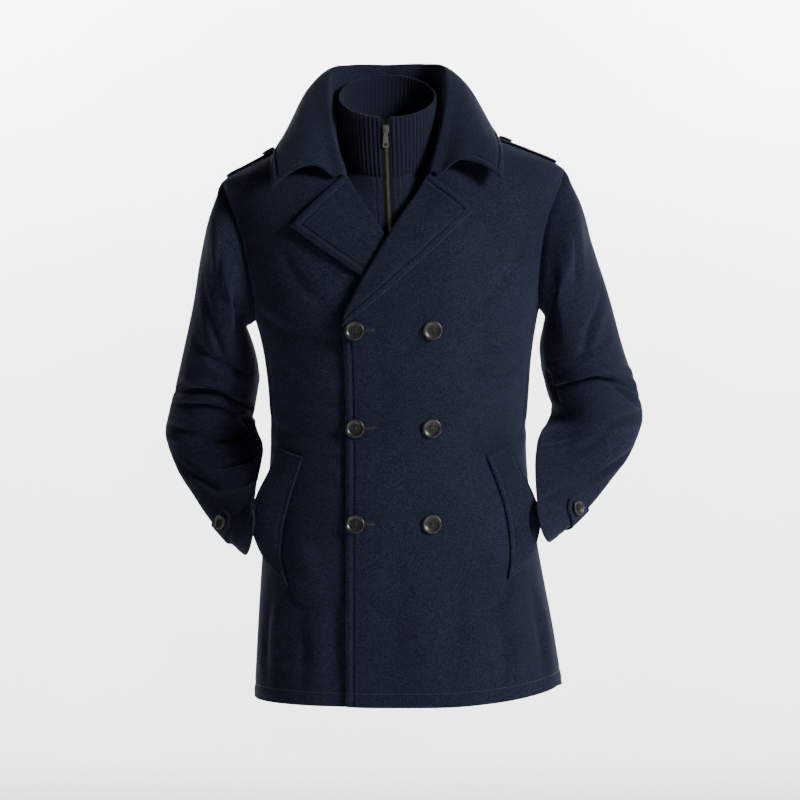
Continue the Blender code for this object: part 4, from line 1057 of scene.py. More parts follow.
# ---------- the body form
@dataclass(frozen=True)
class TorsoForm:
    """The coat body as a stack of rounded sections.

    A place on it is a turn, 0 at the centre front, 180 at the back and positive on the
    wearer's left, and a height.
    """

    roundness: float = 2.3
    overlap: float = 5.0
    over_lapel: float = 10.4
    hem_front: float = -795.0
    hem_back: float = -785.0
    left_hem_rise: float = 20.0
    armpit_drop: float = 198.0
    break_height: float = -284.0
    neck_height: float = 15.0
    nape_height: float = 6.0

    @staticmethod
    def tip(side: Side) -> float:
        """Height of a shoulder tip."""
        return -71.0 if side is Side.RIGHT else -54.0

    def half_width(self, turn: Array, height: Array) -> Array:
        """Distance from the centre line to the side line on the turn's side.

        Args:
            turn: places round the body, in degrees.
            height: their heights.

        Returns:
            The distances.
        """
        centre = BODY.at("centre", height)
        left = BODY.at("left", height) - centre
        right = centre - BODY.at("right", height)
        return np.where(np.asarray(turn) >= 0, left, right)

    def point(self, turn: Array, height: Array) -> Array:
        """Point of the form: a rounded box curve, sine and cosine raised to 2 / roundness.

        Args:
            turn: places round the body, in degrees.
            height: their heights.

        Returns:
            The points.
        """
        turn = np.asarray(turn, dtype=float)
        power = 2 / self.roundness
        angle = np.radians(np.abs(turn))
        across = np.abs(np.sin(angle)) ** power * self.half_width(turn, height)
        front = np.cos(angle) > 0
        depth = np.where(front, BODY.at("front", height), BODY.at("back", height))
        y = -np.sign(np.cos(angle)) * np.abs(np.cos(angle)) ** power * depth
        x = BODY.at("centre", height) + np.where(turn >= 0, 1, -1) * across
        return np.stack(np.broadcast_arrays(x, y, height), axis=-1)

    def normal(self, turn: Array, height: Array) -> Array:
        """Outward direction of the form: the cross product of short steps round it and up it.

        Args:
            turn: places round the body, in degrees.
            height: their heights.

        Returns:
            The directions.
        """
        turn = np.asarray(turn, dtype=float)
        height = np.asarray(height, dtype=float)
        along = self.point(turn + 0.6, height) - self.point(turn - 0.6, height)
        up = self.point(turn, height + 1.5) - self.point(turn, height - 1.5)
        return unit(np.cross(along, up))

    def turn_at(self, x: Array, height: Array) -> Array:
        """Turn of the front half's points with a given x.

        Args:
            x: places across the front.
            height: their heights.

        Returns:
            The turns, in degrees.
        """
        reach = np.asarray(x, dtype=float) - BODY.at("centre", height)
        part = np.clip(np.abs(reach) / self.half_width(reach, height), 0, 1)
        return np.sign(reach) * np.degrees(np.arcsin(part ** (self.roundness / 2)))

    def overlap_lift(self, side: Side, x: Array, height: Array) -> Array:
        """How far a front stands off the form: the left one lies over the right one.

        Args:
            side: the front.
            x: places across it.
            height: their heights.

        Returns:
            The distances.
        """
        if side is Side.RIGHT:
            return np.zeros(np.broadcast(x, height).shape)
        lift = self.overlap + (self.over_lapel - self.overlap) * ease(height, -330, -280)
        return lift * (1 - ease(height, -160, -90)) * (1 - ease(x, 66, 136))

    def front(self, side: Side, turn: Array, height: Array, lift: Array | float = 0.0) -> Array:
        """Points on a front's outer face.

        Args:
            side: the front.
            turn: places round the body, in degrees.
            height: their heights.
            lift: distance that they are moved out.

        Returns:
            The points.
        """
        points = self.point(turn, height)
        lift = self.overlap_lift(side, points[..., 0], height) + lift
        return points + self.normal(turn, height) * np.asarray(lift)[..., None]

    def armhole(self, side: Side, around: Array) -> tuple[Array, Array]:
        """Turn and height of the armhole, counted in degrees from the tip forward and down."""
        turn = side.sign * ARMHOLE.at("turn", around)
        return turn, self.tip(side) - self.armpit_drop * ARMHOLE.at("drop", around)

    def hem(self, side: Side, turn: Array) -> Array:
        """Height of the hem all round.

        Args:
            side: the side.
            turn: places round the body, in degrees.

        Returns:
            The heights.
        """
        rise = self.left_hem_rise if side is Side.LEFT else 0.0
        front = self.hem_front + rise * ease(np.abs(turn), 10, 90)
        end = self.hem_front + rise
        back = end + (self.hem_back - end) * ease(np.abs(turn), 90, 170)
        return np.where(np.abs(turn) < 90, front, back)

    def outer_edge(self, side: Side, along: Array) -> tuple[Array, Array]:
        """Side seam up to the armpit, then the armhole up to the tip.

        Args:
            side: the side.
            along: places up the edge, 0 to 1.

        Returns:
            The turns, without their signs, and the heights.
        """
        armpit = self.tip(side) - self.armpit_drop
        hem = self.hem(side, 90.0)
        seam = hem + (armpit - hem) * np.clip(along / PANEL_SPLIT, 0, 1)
        around = 180 * (1 - np.clip((along - PANEL_SPLIT) / (1 - PANEL_SPLIT), 0, 1))
        turn, height = self.armhole(side, around)
        low = along <= PANEL_SPLIT
        return np.where(low, 90.0, np.abs(turn)), np.where(low, seam, height)


FORM = TorsoForm()


@dataclass
class Torso:
    """The two fronts and the back, with their folds, edge stitching and hem."""

    finishes: Finishes
    stitches: Stitches
    seam_turn: float = 0.05
    shoulder_turn: float = 0.16
    neck_part: float = 0.6
    hem_inset: float = 18.0
    seam_sink: float = 1.6
    fold_depth: float = 1.45
    fold_limit: float = 4.0

    def seam_gap(self, along: Array) -> Array:
        """Degrees left open at the outer edge, more of them towards the shoulder."""
        return self.seam_turn + (self.shoulder_turn - self.seam_turn) * ease(along, 0.7, 1)

    def front_points(self, side: Side) -> tuple[Array, Array]:
        """Grid of one front's outer face, hem to neck and front edge to side seam.

        Args:
            side: the front.

        Returns:
            The grid and the turns of its points.
        """
        along = panel_rows(300)
        low = np.clip(along / PANEL_SPLIT, 0, 1)
        high = np.clip((along - PANEL_SPLIT) / (1 - PANEL_SPLIT), 0, 1)
        height = FORM.hem_front + (FORM.break_height - FORM.hem_front) * low
        height = height + (FORM.neck_height - FORM.break_height) * high
        reach = FOLD.straight("reach", height)
        in_turn = side.sign * FORM.turn_at(BODY.at("centre", height) + side.sign * reach, height)
        out_turn, out_height = FORM.outer_edge(side, along)
        across = spaced(250, 4.6, 16.0, 3.0)[None, :]
        turn = in_turn[:, None] + (out_turn - in_turn)[:, None] * across
        grid_height = height[:, None] + (out_height - height)[:, None] * across
        near_hem = (1 - low)[:, None] ** 6
        grid_height = grid_height + near_hem * (FORM.hem(side, turn) - grid_height)
        turns = side.sign * np.minimum(turn, (out_turn - self.seam_gap(along))[:, None])
        return FORM.front(side, turns, grid_height), turns

    def back_points(self) -> tuple[Array, Array]:
        """Grid of the back; its top row runs up one shoulder, round the nape and down.

        Returns:
            The grid and the turns of its points.
        """
        along = panel_rows(290)
        part = spaced(330, 5.0, 3.0)
        middle = (FORM.hem_back + (FORM.nape_height - FORM.hem_back) * along)[:, None]
        settle = np.clip((along - PANEL_SPLIT) / (1 - PANEL_SPLIT), 0, 1)[:, None] ** 1.2
        up_seam = np.clip(part / self.neck_part, 0, 1)
        round_neck = np.clip((part - self.neck_part) / (1 - self.neck_part), 0, 1)
        halves, turns = [], []
        for side in Side:
            turn, height = FORM.outer_edge(side, along)
            turn = (180 - turn)[:, None]
            height = height[:, None]
            grid_turn = turn + (180 - turn) * part
            grid_height = height + (middle - height) * part * (2 - part)
            tip = FORM.tip(side)
            top_height = tip + (FORM.neck_height - tip) * up_seam
            top_height = top_height + (FORM.nape_height - FORM.neck_height) * ease(round_neck, 0, 1)
            grid_turn = grid_turn + settle * (90 + 90 * round_neck - grid_turn[-1])
            grid_height = grid_height + settle * (top_height - grid_height[-1])
            grid_turn = side.sign * np.maximum(grid_turn, turn + self.seam_gap(along)[:, None])
            halves.append(FORM.point(grid_turn, grid_height))
            turns.append(grid_turn)
        points, turns = [np.concatenate([right, left[:, -2::-1]], axis=1)
                         for right, left in (halves, turns)]
        return points, turns

    def fold_height(self, name: str, points: Array, turns: Array) -> Array:
        """Height of a panel's folds, placed in millimetres round the form and up it.

        Args:
            name: the panel.
            points: its grid.
            turns: the turns of its points.

        Returns:
            The height.
        """
        return creased(TORSO_FOLDS[name], lambda turn, height: (turn * ARC, height),
                       self.fold_depth, 0.1, turns * ARC, points[..., 2])

    def seam_dent(self, points: Array, border: Border) -> Array:
        """Depth of the cloth drawn in along a seam."""
        return self.seam_sink * bell(edge_distance(points, border), 0.0, 3.0)

    def front(self, side: Side) -> None:
        """Build one front.

        Args:
            side: the front.
        """
        points, turns = self.front_points(side)
        hem = edge_distance(points, Border.FIRST_ROW)
        edge = edge_distance(points, Border.FIRST_COLUMN)
        free = 1 - ease(points[..., 2], FORM.break_height - 6, FORM.break_height + 14)
        lift = self.fold_height(side.value, points, turns) * (0.25 + 0.75 * ease(edge, 6, 46))
        lift = lift + stitched(edge) * free + stitched(hem, self.hem_inset, 1.1, 0.7)
        lift = np.minimum(lift - self.seam_dent(points, Border.LAST_COLUMN), self.fold_limit)
        shell = Shell(points, flip=side.mirrored).raised(lift)
        shell.sew(f"front_{side.value}", self.finishes, (0.335, 0.840), 0.239)
        line = contour(shell.points, edge, INSET, 1)
        self.stitches.row(line[line[:, 2] < FORM.break_height])
        self.stitches.row(contour(shell.points, hem, self.hem_inset, 0))

    def back(self) -> None:
        """Build the back."""
        points, turns = self.back_points()
        hem = edge_distance(points, Border.FIRST_ROW)
        lift = self.fold_height("back", points, turns) + stitched(hem, self.hem_inset, 1.1, 0.7)
        for border in (Border.FIRST_COLUMN, Border.LAST_COLUMN):
            lift = lift - self.seam_dent(points, border)
        shell = Shell(points, flip=True).raised(lift)
        shell.sew("back", self.finishes, (0.56, 0.82), 0.405)
        self.stitches.row(contour(shell.points, hem, self.hem_inset, 0))

    def build(self) -> None:
        """Build the three panels."""
        for side in Side:
            self.front(side)
        self.back()


# ---------- sleeves
@dataclass
class Sleeves:
    """Two bent sleeves, lofted from the armholes through rings, with elbow folds."""

    finishes: Finishes
    steps: int = 120
    head_gap: float = 0.4
    head_lift: float = 0.4
    along_length: float = 640.0
    around_length: float = 1.25
    cuff_inset: float = 20.0
    fold_depth: float = 1.8
    seam_depth: float = 1.5
    seam_wall: float = 0.8

    @property
    def places(self) -> Array:
        """The places round a ring, in degrees."""
        return np.arange(0.0, 360.0, 360 / self.steps)

    def ring(self, side: Side, row: int) -> Array:
        """One ring: an ellipse from its outer end, 0, over the front, 90, to its inner end.

        Args:
            side: the sleeve's side.
            row: the ring's row in its chart.

        Returns:
            The ring's points.
        """
        chart = SLEEVE_RINGS[side]
        outer, inner = (np.array([chart.column(f"{end}_{axis}")[row] for axis in "xyz"])
                        for end in ("out", "in"))
        across = (outer - inner) / 2
        axis = unit(across)
        forward = np.array([0.0, -1.0, 0.0])
        forward = unit(forward - axis * np.dot(forward, axis))
        upward = np.cross(axis, forward) * side.sign
        lean = math.radians(chart.column("lean")[row])
        front = (forward * math.cos(lean) + upward * math.sin(lean)) * chart.column("depth")[row]
        angle = np.radians(self.places)[:, None]
        return (outer + inner) / 2 + across * np.cos(angle) + front * np.sin(angle)

    def form(self, side: Side, along: Array, around: Array) -> Array:
        """Points of the plain sleeve: smooth curves along it and straight steps round it.

        Args:
            side: the sleeve's side.
            along: places along it, 0 to 1.
            around: places round it, in degrees.

        Returns:
            The points.
        """
        along, around = np.broadcast_arrays(np.asarray(along, float), np.asarray(around, float))
        turn, height = FORM.armhole(side, self.places)
        first = FORM.point(turn, height) + FORM.normal(turn, height) * self.head_lift
        rings = [first + np.array([side.sign * self.head_gap, 0.0, 0.0])]
        rings += [self.ring(side, row) for row in range(len(SLEEVE_RINGS[side].rows))]
        knots = np.concatenate([[0.0], SLEEVE_RINGS[side].column("along")])
        strips = smooth(knots, np.array(rings).reshape(len(knots), -1), along)
        strips = strips.reshape(along.shape + (self.steps, 3))
        place = (around % 360) / 360 * self.steps
        low = np.minimum(place.astype(int), self.steps - 1)
        part = (place - low)[..., None]
        rows = np.indices(along.shape)
        return strips[(*rows, low)] * (1 - part) + strips[(*rows, (low + 1) % self.steps)] * part

    def normal(self, side: Side, along: Array, around: Array) -> Array:
        """Outward direction of the plain sleeve: the cross product of short steps on it.

        Args:
            side: the sleeve's side.
            along: places along it.
            around: places round it, in degrees.

        Returns:
            The directions.
        """
        low = np.clip(along - 0.01, 0, 0.98)
        down = self.form(side, low + 0.02, around) - self.form(side, low, around)
        turned = self.form(side, along, around + 6) - self.form(side, along, around - 6)
        return unit(np.cross(turned, down)) * side.sign

    def lift(self, side: Side, along: Array, around: Array) -> Array:
        """Height of the sleeve's folds, read a turn before and after too, so that they close.

        Args:
            side: the sleeve's side.
            along: places along it.
            around: places round it, in degrees.

        Returns:
            The height.
        """
        def scale(share: float, angle: float | Array) -> tuple[float, float | Array]:
            """A place on the sleeve in millimetres round it and along it."""
            return angle * self.around_length, share * self.along_length

        return sum(creased(SLEEVE_FOLDS[side], scale, self.fold_depth, 0.0,
                           *scale(along, around + shift)) for shift in (-360, 0, 360))

    def surface(self, side: Side, along: Array, around: Array, lift: float) -> Array:
        """Points of the sleeve's outer face, folds included.

        Args:
            side: the sleeve's side.
            along: places along it.
            around: places round it, in degrees.
            lift: distance that they are moved out.

        Returns:
            The points.
        """
        along, around = np.broadcast_arrays(np.asarray(along, float), np.asarray(around, float))
        raised = self.lift(side, along, around) + lift
        return self.form(side, along, around) + self.normal(side, along, around) * raised[..., None]

    def seam_band(self, side: Side) -> None:
        """The allowance that closes the armhole seam inside both cloths.

        Its rows run from the body's cloth to the sleeve's, in the middle of their thickness.

        Args:
            side: the sleeve's side.
        """
        turn, height = FORM.armhole(side, self.places)
        rows = []
        for spread in (1.06, 1.02):
            wide = turn.mean() + (turn - turn.mean()) * spread
            tall = height.mean() + (height - height.mean()) * spread
            rows.append(FORM.point(wide, tall) - FORM.normal(wide, tall) * self.seam_depth)
        for along in (0.003, 0.010):
            place = np.full(self.steps, along)
            inward = self.normal(side, place, self.places) * self.seam_depth
            rows.append(self.form(side, place, self.places) - inward)
        shell = Shell(np.array(rows), flip=side.mirrored, thickness=self.seam_wall, wrap=True)
        shell.build(f"armhole_seam_{side.value}", self.finishes.melton, "navy_melton",
                    (0.50, 0.013), 0.0060)

    def build(self) -> None:
        """Build both sleeves."""
        around = self.places[None, :]
        along = spaced(self.along_length, 3.2, 6.0, 26.0)[:, None]
        for side in Side:
            points = self.form(side, along, around)
            cuff = edge_distance(points, Border.LAST_ROW)
            head = edge_distance(points, Border.FIRST_ROW)
            calm = ease(head, 0, 26) * (0.35 + 0.65 * ease(cuff, 0, 40))
            lift = self.lift(side, along, around) * calm + 1.6 * bell(head, 9.0, 7.0)
            lift = lift + stitched(cuff, self.cuff_inset, 0.45, 0.3)
            lift = lift - 0.8 * bell((around - 205) * self.around_length, 0.0, 1.8)
            shell = Shell(points, flip=side.mirrored, wrap=True).raised(lift, 1.0)
            shell.sew(f"sleeve_{side.value}", self.finishes, (0.42, 0.57), 0.158)
            self.seam_band(side)


# ---------- collar and lapels
@dataclass
class CollarAndLapels:
    """The turned-down collar and the two lapels, rolled over and stitched near their edges."""

    finishes: Finishes
    stitches: Stitches
    neck_part: float = 0.48
    gorge: float = -74.7
    centre: float = -7.0
    gap: float = 1.8
    roll: float = 9.0
    arch: float = 14.0
    rest: float = 4.0
    stand: float = 11.0
    roll_steps: float = 4.0
    leaf_steps: float = 5.0
    tips: dict[Side, tuple[float, float]] = field(default_factory=lambda: {
        Side.RIGHT: (128.0, -146.0),
        Side.LEFT: (115.0, -126.0),
    })

    def neckline(self, side: Side, along: Array) -> Array:
        """Points of the neckline.

        Args:
            side: the side of the neck.
            along: places from the nape, 0, to the gorge, 1.

        Returns:
            The points.
        """
        back = np.clip(along / self.neck_part, 0, 1)
        front = np.clip((along - self.neck_part) / (1 - self.neck_part), 0, 1)
        height = FORM.neck_height + (self.gorge - FORM.neck_height) * front**1.15
        reach = FOLD.straight("reach", height)
        turn = FORM.turn_at(BODY.at("centre", height) + side.sign * reach, height)
        rise = (FORM.neck_height - FORM.nape_height) * ease(back, 0, 1)
        back_points = FORM.point(side.sign * (180 - 90 * back), FORM.nape_height + rise)
        front_points = FORM.front(side, turn, height)
        return np.where((along < self.neck_part)[..., None], back_points, front_points)

    def collar_line(self, name: str, side: Side, along: Array, share: float) -> Array:
        """One line of the collar's length, read from its chart.

        Args:
            name: which line.
            side: the side of the neck.
            along: places on it.
            share: how much of the left side's rise it takes.

        Returns:
            The line's points.
        """
        rise = COLLAR.at("left_rise", along) * share if side is Side.LEFT else 0.0
        x = self.centre + side.sign * COLLAR.at(f"{name}_x", along)
        return np.stack([x, COLLAR.at(f"{name}_y", along), COLLAR.at(f"{name}_z", along) + rise], -1)

    def collar_half(self, side: Side) -> Array:
        """One half of the collar: smooth curves from its seam over its roll to its edge.

        Args:
            side: the half.

        Returns:
            Its grid, seam to outer edge and nape to leading edge.
        """
        along = spaced(290, 4.4, 0.0, 15.0)
        seam = self.neckline(side, along)
        inward = level(np.array([self.centre, -20.0, 0.0]) - seam)
        gap = (self.gap * (1 + 1.5 * along**3))[:, None]
        seam = seam + inward * (CLOTH + gap) + UP * gap
        roll = self.collar_line("roll", side, along, 0.3)
        edge = self.collar_line("edge", side, along, 1.0)
        outward = level(edge - roll)
        leaf = unit(edge - roll)
        face = unit(UP - leaf * (leaf @ UP)[:, None])
        full = COLLAR.at("full", along)[:, None]
        stand = seam * 0.45 + roll * 0.55 - outward * 2 - UP
        before = roll * 0.9 + stand * 0.1 - outward * 2.5
        after = roll + outward * self.roll - UP * self.roll * 0.35
        upper = roll * 0.66 + edge * 0.34 + face * full
        lower = roll * 0.30 + edge * 0.70 + face * full * 0.6
        knots = np.array([0.0, 0.20, 0.36, 0.43, 0.50, 0.66, 0.83, 1.0])
        controls = np.array([seam, stand, before, roll, after, upper, lower, edge])
        across = np.concatenate([np.linspace(0, 0.34, 12), np.linspace(0.34, 0.54, 16)[1:],
                                 0.54 + 0.46 * spaced(105, 3.6, 0.0, 15.0)[1:]])
        points = smooth(knots, controls.reshape(len(knots), -1), across)
        points = points.reshape(len(across), len(along), 3)
        arch = np.sin(math.pi * np.clip((across - 0.5) / 0.5, 0, 1))[:, None, None]
        return points + (along[None, :, None] ** 6) * arch * UP * self.arch

    def collar(self) -> Shell:
        """The whole collar from the right leading edge round to the left one.

        Returns:
            Its shell.
        """
        right, left = (self.collar_half(side) for side in Side)
        middle = (right[:, :1] + left[:, :1]) / 2
        points = np.concatenate([right[:, :0:-1], middle, left[:, 1:]], axis=1)
        leads = (Border.FIRST_COLUMN, Border.LAST_COLUMN)
        outer = edge_distance(points, Border.LAST_ROW)
        lead = np.minimum(*(edge_distance(points, border) for border in leads))
        on_leaf = ease(edge_distance(points, Border.FIRST_ROW), 62, 76)
        lift = stitched(np.minimum(outer, lead + 80 * (1 - on_leaf))) * on_leaf
        wave = np.sin(points[..., 0] * 0.052 + 0.7) * bell(outer, 42.0, 26.0)
        shell = Shell(points).raised(lift + 0.9 * wave * on_leaf)
        self.stitches.row(contour(shell.points, outer, INSET, 0)[6:-6])
        rows = slice(int((on_leaf[:, 0] < 0.9).sum()), int((outer[:, 0] > INSET).sum()))
        for border in leads:
            line = contour(shell.points, edge_distance(points, border), INSET, 1)
            self.stitches.row(line[rows])
        return shell

    def lapel_points(self, side: Side, down: Array) -> Array:
        """Grid of one lapel: from the fold, round its roll and out to its edge.

        Args:
            side: the lapel's side.
            down: places from the gorge, 0, to the break, 1.

        Returns:
            The grid.
        """
        reach, tip_height = self.tips[side]
        height = self.gorge + (FORM.break_height + 4 - self.gorge) * down
        centre = BODY.at("centre", height)
        fold_x = centre + side.sign * FOLD.straight("reach", height)
        end_x = fold_x[-1] + side.sign * 2.0
        end_z = height[-1] + 1.5
        belly = np.sin(math.pi * down) * 3.0
        edge_x = centre[0] + side.sign * reach
        edge_x = edge_x + (end_x - edge_x) * down + side.sign * belly * 0.6
        edge_z = tip_height + (end_z - tip_height) * down - belly * 0.8
        stand = (self.stand - self.rest) * (1 - down) ** 1.5
        leaf = self.leaf_steps * spaced(85, 3.0, 0.0, 15.0)[1:]
        steps = np.concatenate([np.linspace(0, self.roll_steps, 17), self.roll_steps + leaf])
        out = np.clip((steps - self.roll_steps) / self.leaf_steps, 0, 1)
        rolled = np.minimum(steps, self.roll_steps)
        start = ROLL.column("out")[0]
        taper = np.clip((1 - down) / 0.06, 0.8, 1)[:, None]
        off = start + (ROLL.at("out", rolled) - start) * taper
        rise = ROLL.at("rest", rolled) + stand[:, None] * ease(out, 0, 0.7)
        x = fold_x[:, None] + (edge_x - fold_x)[:, None] * out - side.sign * off
        z = height[:, None] + (edge_z - height)[:, None] * out
        return FORM.front(side, FORM.turn_at(x, z), z, rise)

    def lapel(self, side: Side) -> Shell:
        """One stitched lapel.

        Args:
            side: the lapel's side.

        Returns:
            Its shell.
        """
        down = spaced(230, 3.4, 15.0, 4.0)
        points = self.lapel_points(side, down)
        outer = edge_distance(points, Border.LAST_COLUMN)
        top = edge_distance(points, Border.FIRST_ROW)
        on_leaf = ease(edge_distance(points, Border.FIRST_COLUMN), 8, 14)
        middle = bell(outer, 46.0, 22.0) * np.sin(math.pi * down)[:, None]
        lift = (stitched(np.minimum(outer, top)) + 1.2 * middle) * on_leaf
        shell = Shell(points, flip=not side.mirrored).raised(lift)
        rows = int((top[:, -1] < INSET).sum())
        self.stitches.row(contour(shell.points, outer, INSET, 1)[rows:-6])
        columns = slice(int((on_leaf[0] < 0.9).sum()), int((outer[0] > INSET).sum()))
        self.stitches.row(contour(shell.points, top, INSET, 0)[columns])
        return shell

    def build(self) -> None:
        """Build the collar and lapels."""
        self.collar().sew("collar", self.finishes, (0.60, 0.19), 0.094)
        for side in Side:
            self.lapel(side).sew(f"lapel_{side.value}", self.finishes, (0.12, 0.235), 0.0154, "folded")


# ---------- welts and straps
@dataclass
class Trimmings:
    """Pocket welts, cuff straps and shoulder straps, each stitched round its edge."""

    finishes: Finishes
    stitches: Stitches
    sleeves: Sleeves
    tab_along: float = 0.935
    tab_slant: float = 0.0008
    tab_half: float = 0.027
    strap_half: float = 22.0
    strap_inner: float = 138.0
    strap_lift: float = 1.0
    strap_outer: dict[Side, float] = field(
        default_factory=lambda: {Side.RIGHT: 224.0, Side.LEFT: 236.0})

    def trim(self, name: str, points: Array, flip: bool, inset: float,
             flat: tuple[float, float], area: float) -> None:
        """Build one small stitched piece.

        Args:
            name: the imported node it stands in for.
            points: grid of its outer face.
            flip: whether the grid faces the other way.
            inset: distance of the stitching from the edge.
            flat: width and length of its cut in metres.
            area: area of its cut in square metres.
        """
        near, far, start, end = (edge_distance(points, border) for border in (
            Border.FIRST_COLUMN, Border.LAST_COLUMN, Border.FIRST_ROW, Border.LAST_ROW))
        lift = stitched(np.minimum.reduce([near, far, start, end]), inset, 0.6, 0.4)
        shell = Shell(points, flip=flip).raised(lift)
        shell.sew(name, self.finishes, flat, area)
        rows = slice(int((start[:, 2] < inset).sum()), int((end[:, 2] > inset).sum()))
        columns = slice(int((near[2] < inset).sum()), int((far[2] > inset).sum()))
        self.stitches.row(contour(shell.points, near, inset, 1)[rows])
        self.stitches.row(contour(shell.points, far, inset, 1)[rows])
        self.stitches.row(contour(shell.points, end, inset, 0)[columns])

    def welt(self, side: Side) -> Array:
        """Welt points: sewn along one seam and both ends, standing open at the free edge.

        Args:
            side: the welt's side.

        Returns:
            The grid.
        """
        chart = WELTS[side]
        along = spaced(180, 2.6, 8.0, 8.0)
        seam_z = chart.at("seam_z", along)
        seam_turn = FORM.turn_at(chart.at("seam_x", along), seam_z)
        free_turn = side.sign * chart.at("turn", along)
        across = spaced(38, 1.6, 8.0, 8.0)
        turn = seam_turn[:, None] + (free_turn - seam_turn)[:, None] * across
        height = seam_z[:, None] + (chart.at("free_z", along) - seam_z)[:, None] * across
        proud = chart.at("proud", along)[:, None] * across**1.3
        return FORM.front(side, turn, height, REST + CLOTH + proud)

    def cuff_strap(self, side: Side) -> Array:
        """Cuff strap points, rounded at its front end and sewn in behind.

        Args:
            side: the strap's side.

        Returns:
            The grid.
        """
        around = -75.0 + 165.0 * spaced(150, 2.2, 8.0, 10.0)
        past = np.clip((around - 68.0) / 22, 0, 1)
        half = self.tab_half * np.sqrt(np.clip(1 - past**2.5, 0.06, 1))
        across = 2 * spaced(34, 1.6, 8.0, 8.0) - 1
        along = self.tab_along - self.tab_slant * around[:, None] + half[:, None] * across
        return self.sleeves.surface(side, along, around[:, None], REST + CLOTH)

    def strap_height(self, side: Side, reach: Array) -> Array:
        """Height of the shoulder seam.

        Args:
            side: the shoulder's side.
            reach: distances from the centre line.

        Returns:
            The heights.
        """
        heights = np.linspace(FORM.tip(side) - 2, FORM.neck_height, 120)
        seam_reach = FORM.half_width(side.sign, heights)
        order = np.argsort(seam_reach)
        return np.interp(reach, seam_reach[order], heights[order])

    def shoulder_strap(self, side: Side) -> Array:
        """Shoulder strap points over the shoulder seam, sleeve end to rounded end.

        Args:
            side: the strap's side.

        Returns:
            The grid.
        """
        outer = self.strap_outer[side]
        reach = outer + (self.strap_inner - outer) * spaced(92, 2.4, 8.0, 10.0)
        end = np.clip((reach - self.strap_inner) / 16, 0, 1)
        half = self.strap_half * np.sqrt(np.clip(1 - (1 - end) ** 2.5, 0.08, 1))
        height = self.strap_height(side, reach)[:, None]
        offset = half[:, None] * (2 * spaced(44, 1.8, 8.0, 8.0) - 1)
        share = np.clip(np.abs(offset) / BODY.at("front", height), 0, 1)
        away = np.degrees(np.arccos(share ** (FORM.roundness / 2)))
        turn = side.sign * np.where(offset < 0, away, 180 - away)
        height = np.broadcast_to(height, turn.shape)
        return FORM.point(turn, height) + FORM.normal(turn, height) * (self.strap_lift + CLOTH)

    def build(self) -> None:
        """Build all six pieces."""
        for side in Side:
            name, outwards = side.value, side.mirrored
            self.trim(f"welt_{name}", self.welt(side), not outwards, 5.0, (0.050, 0.19), 0.0087)
            self.trim(f"cuff_tab_{name}", self.cuff_strap(side), not outwards, 5.0,
                      (0.034, 0.115), 0.0036)
            self.trim(f"epaulette_{name}", self.shoulder_strap(side), outwards, 5.5,
                      (0.044, 0.122), 0.0051)


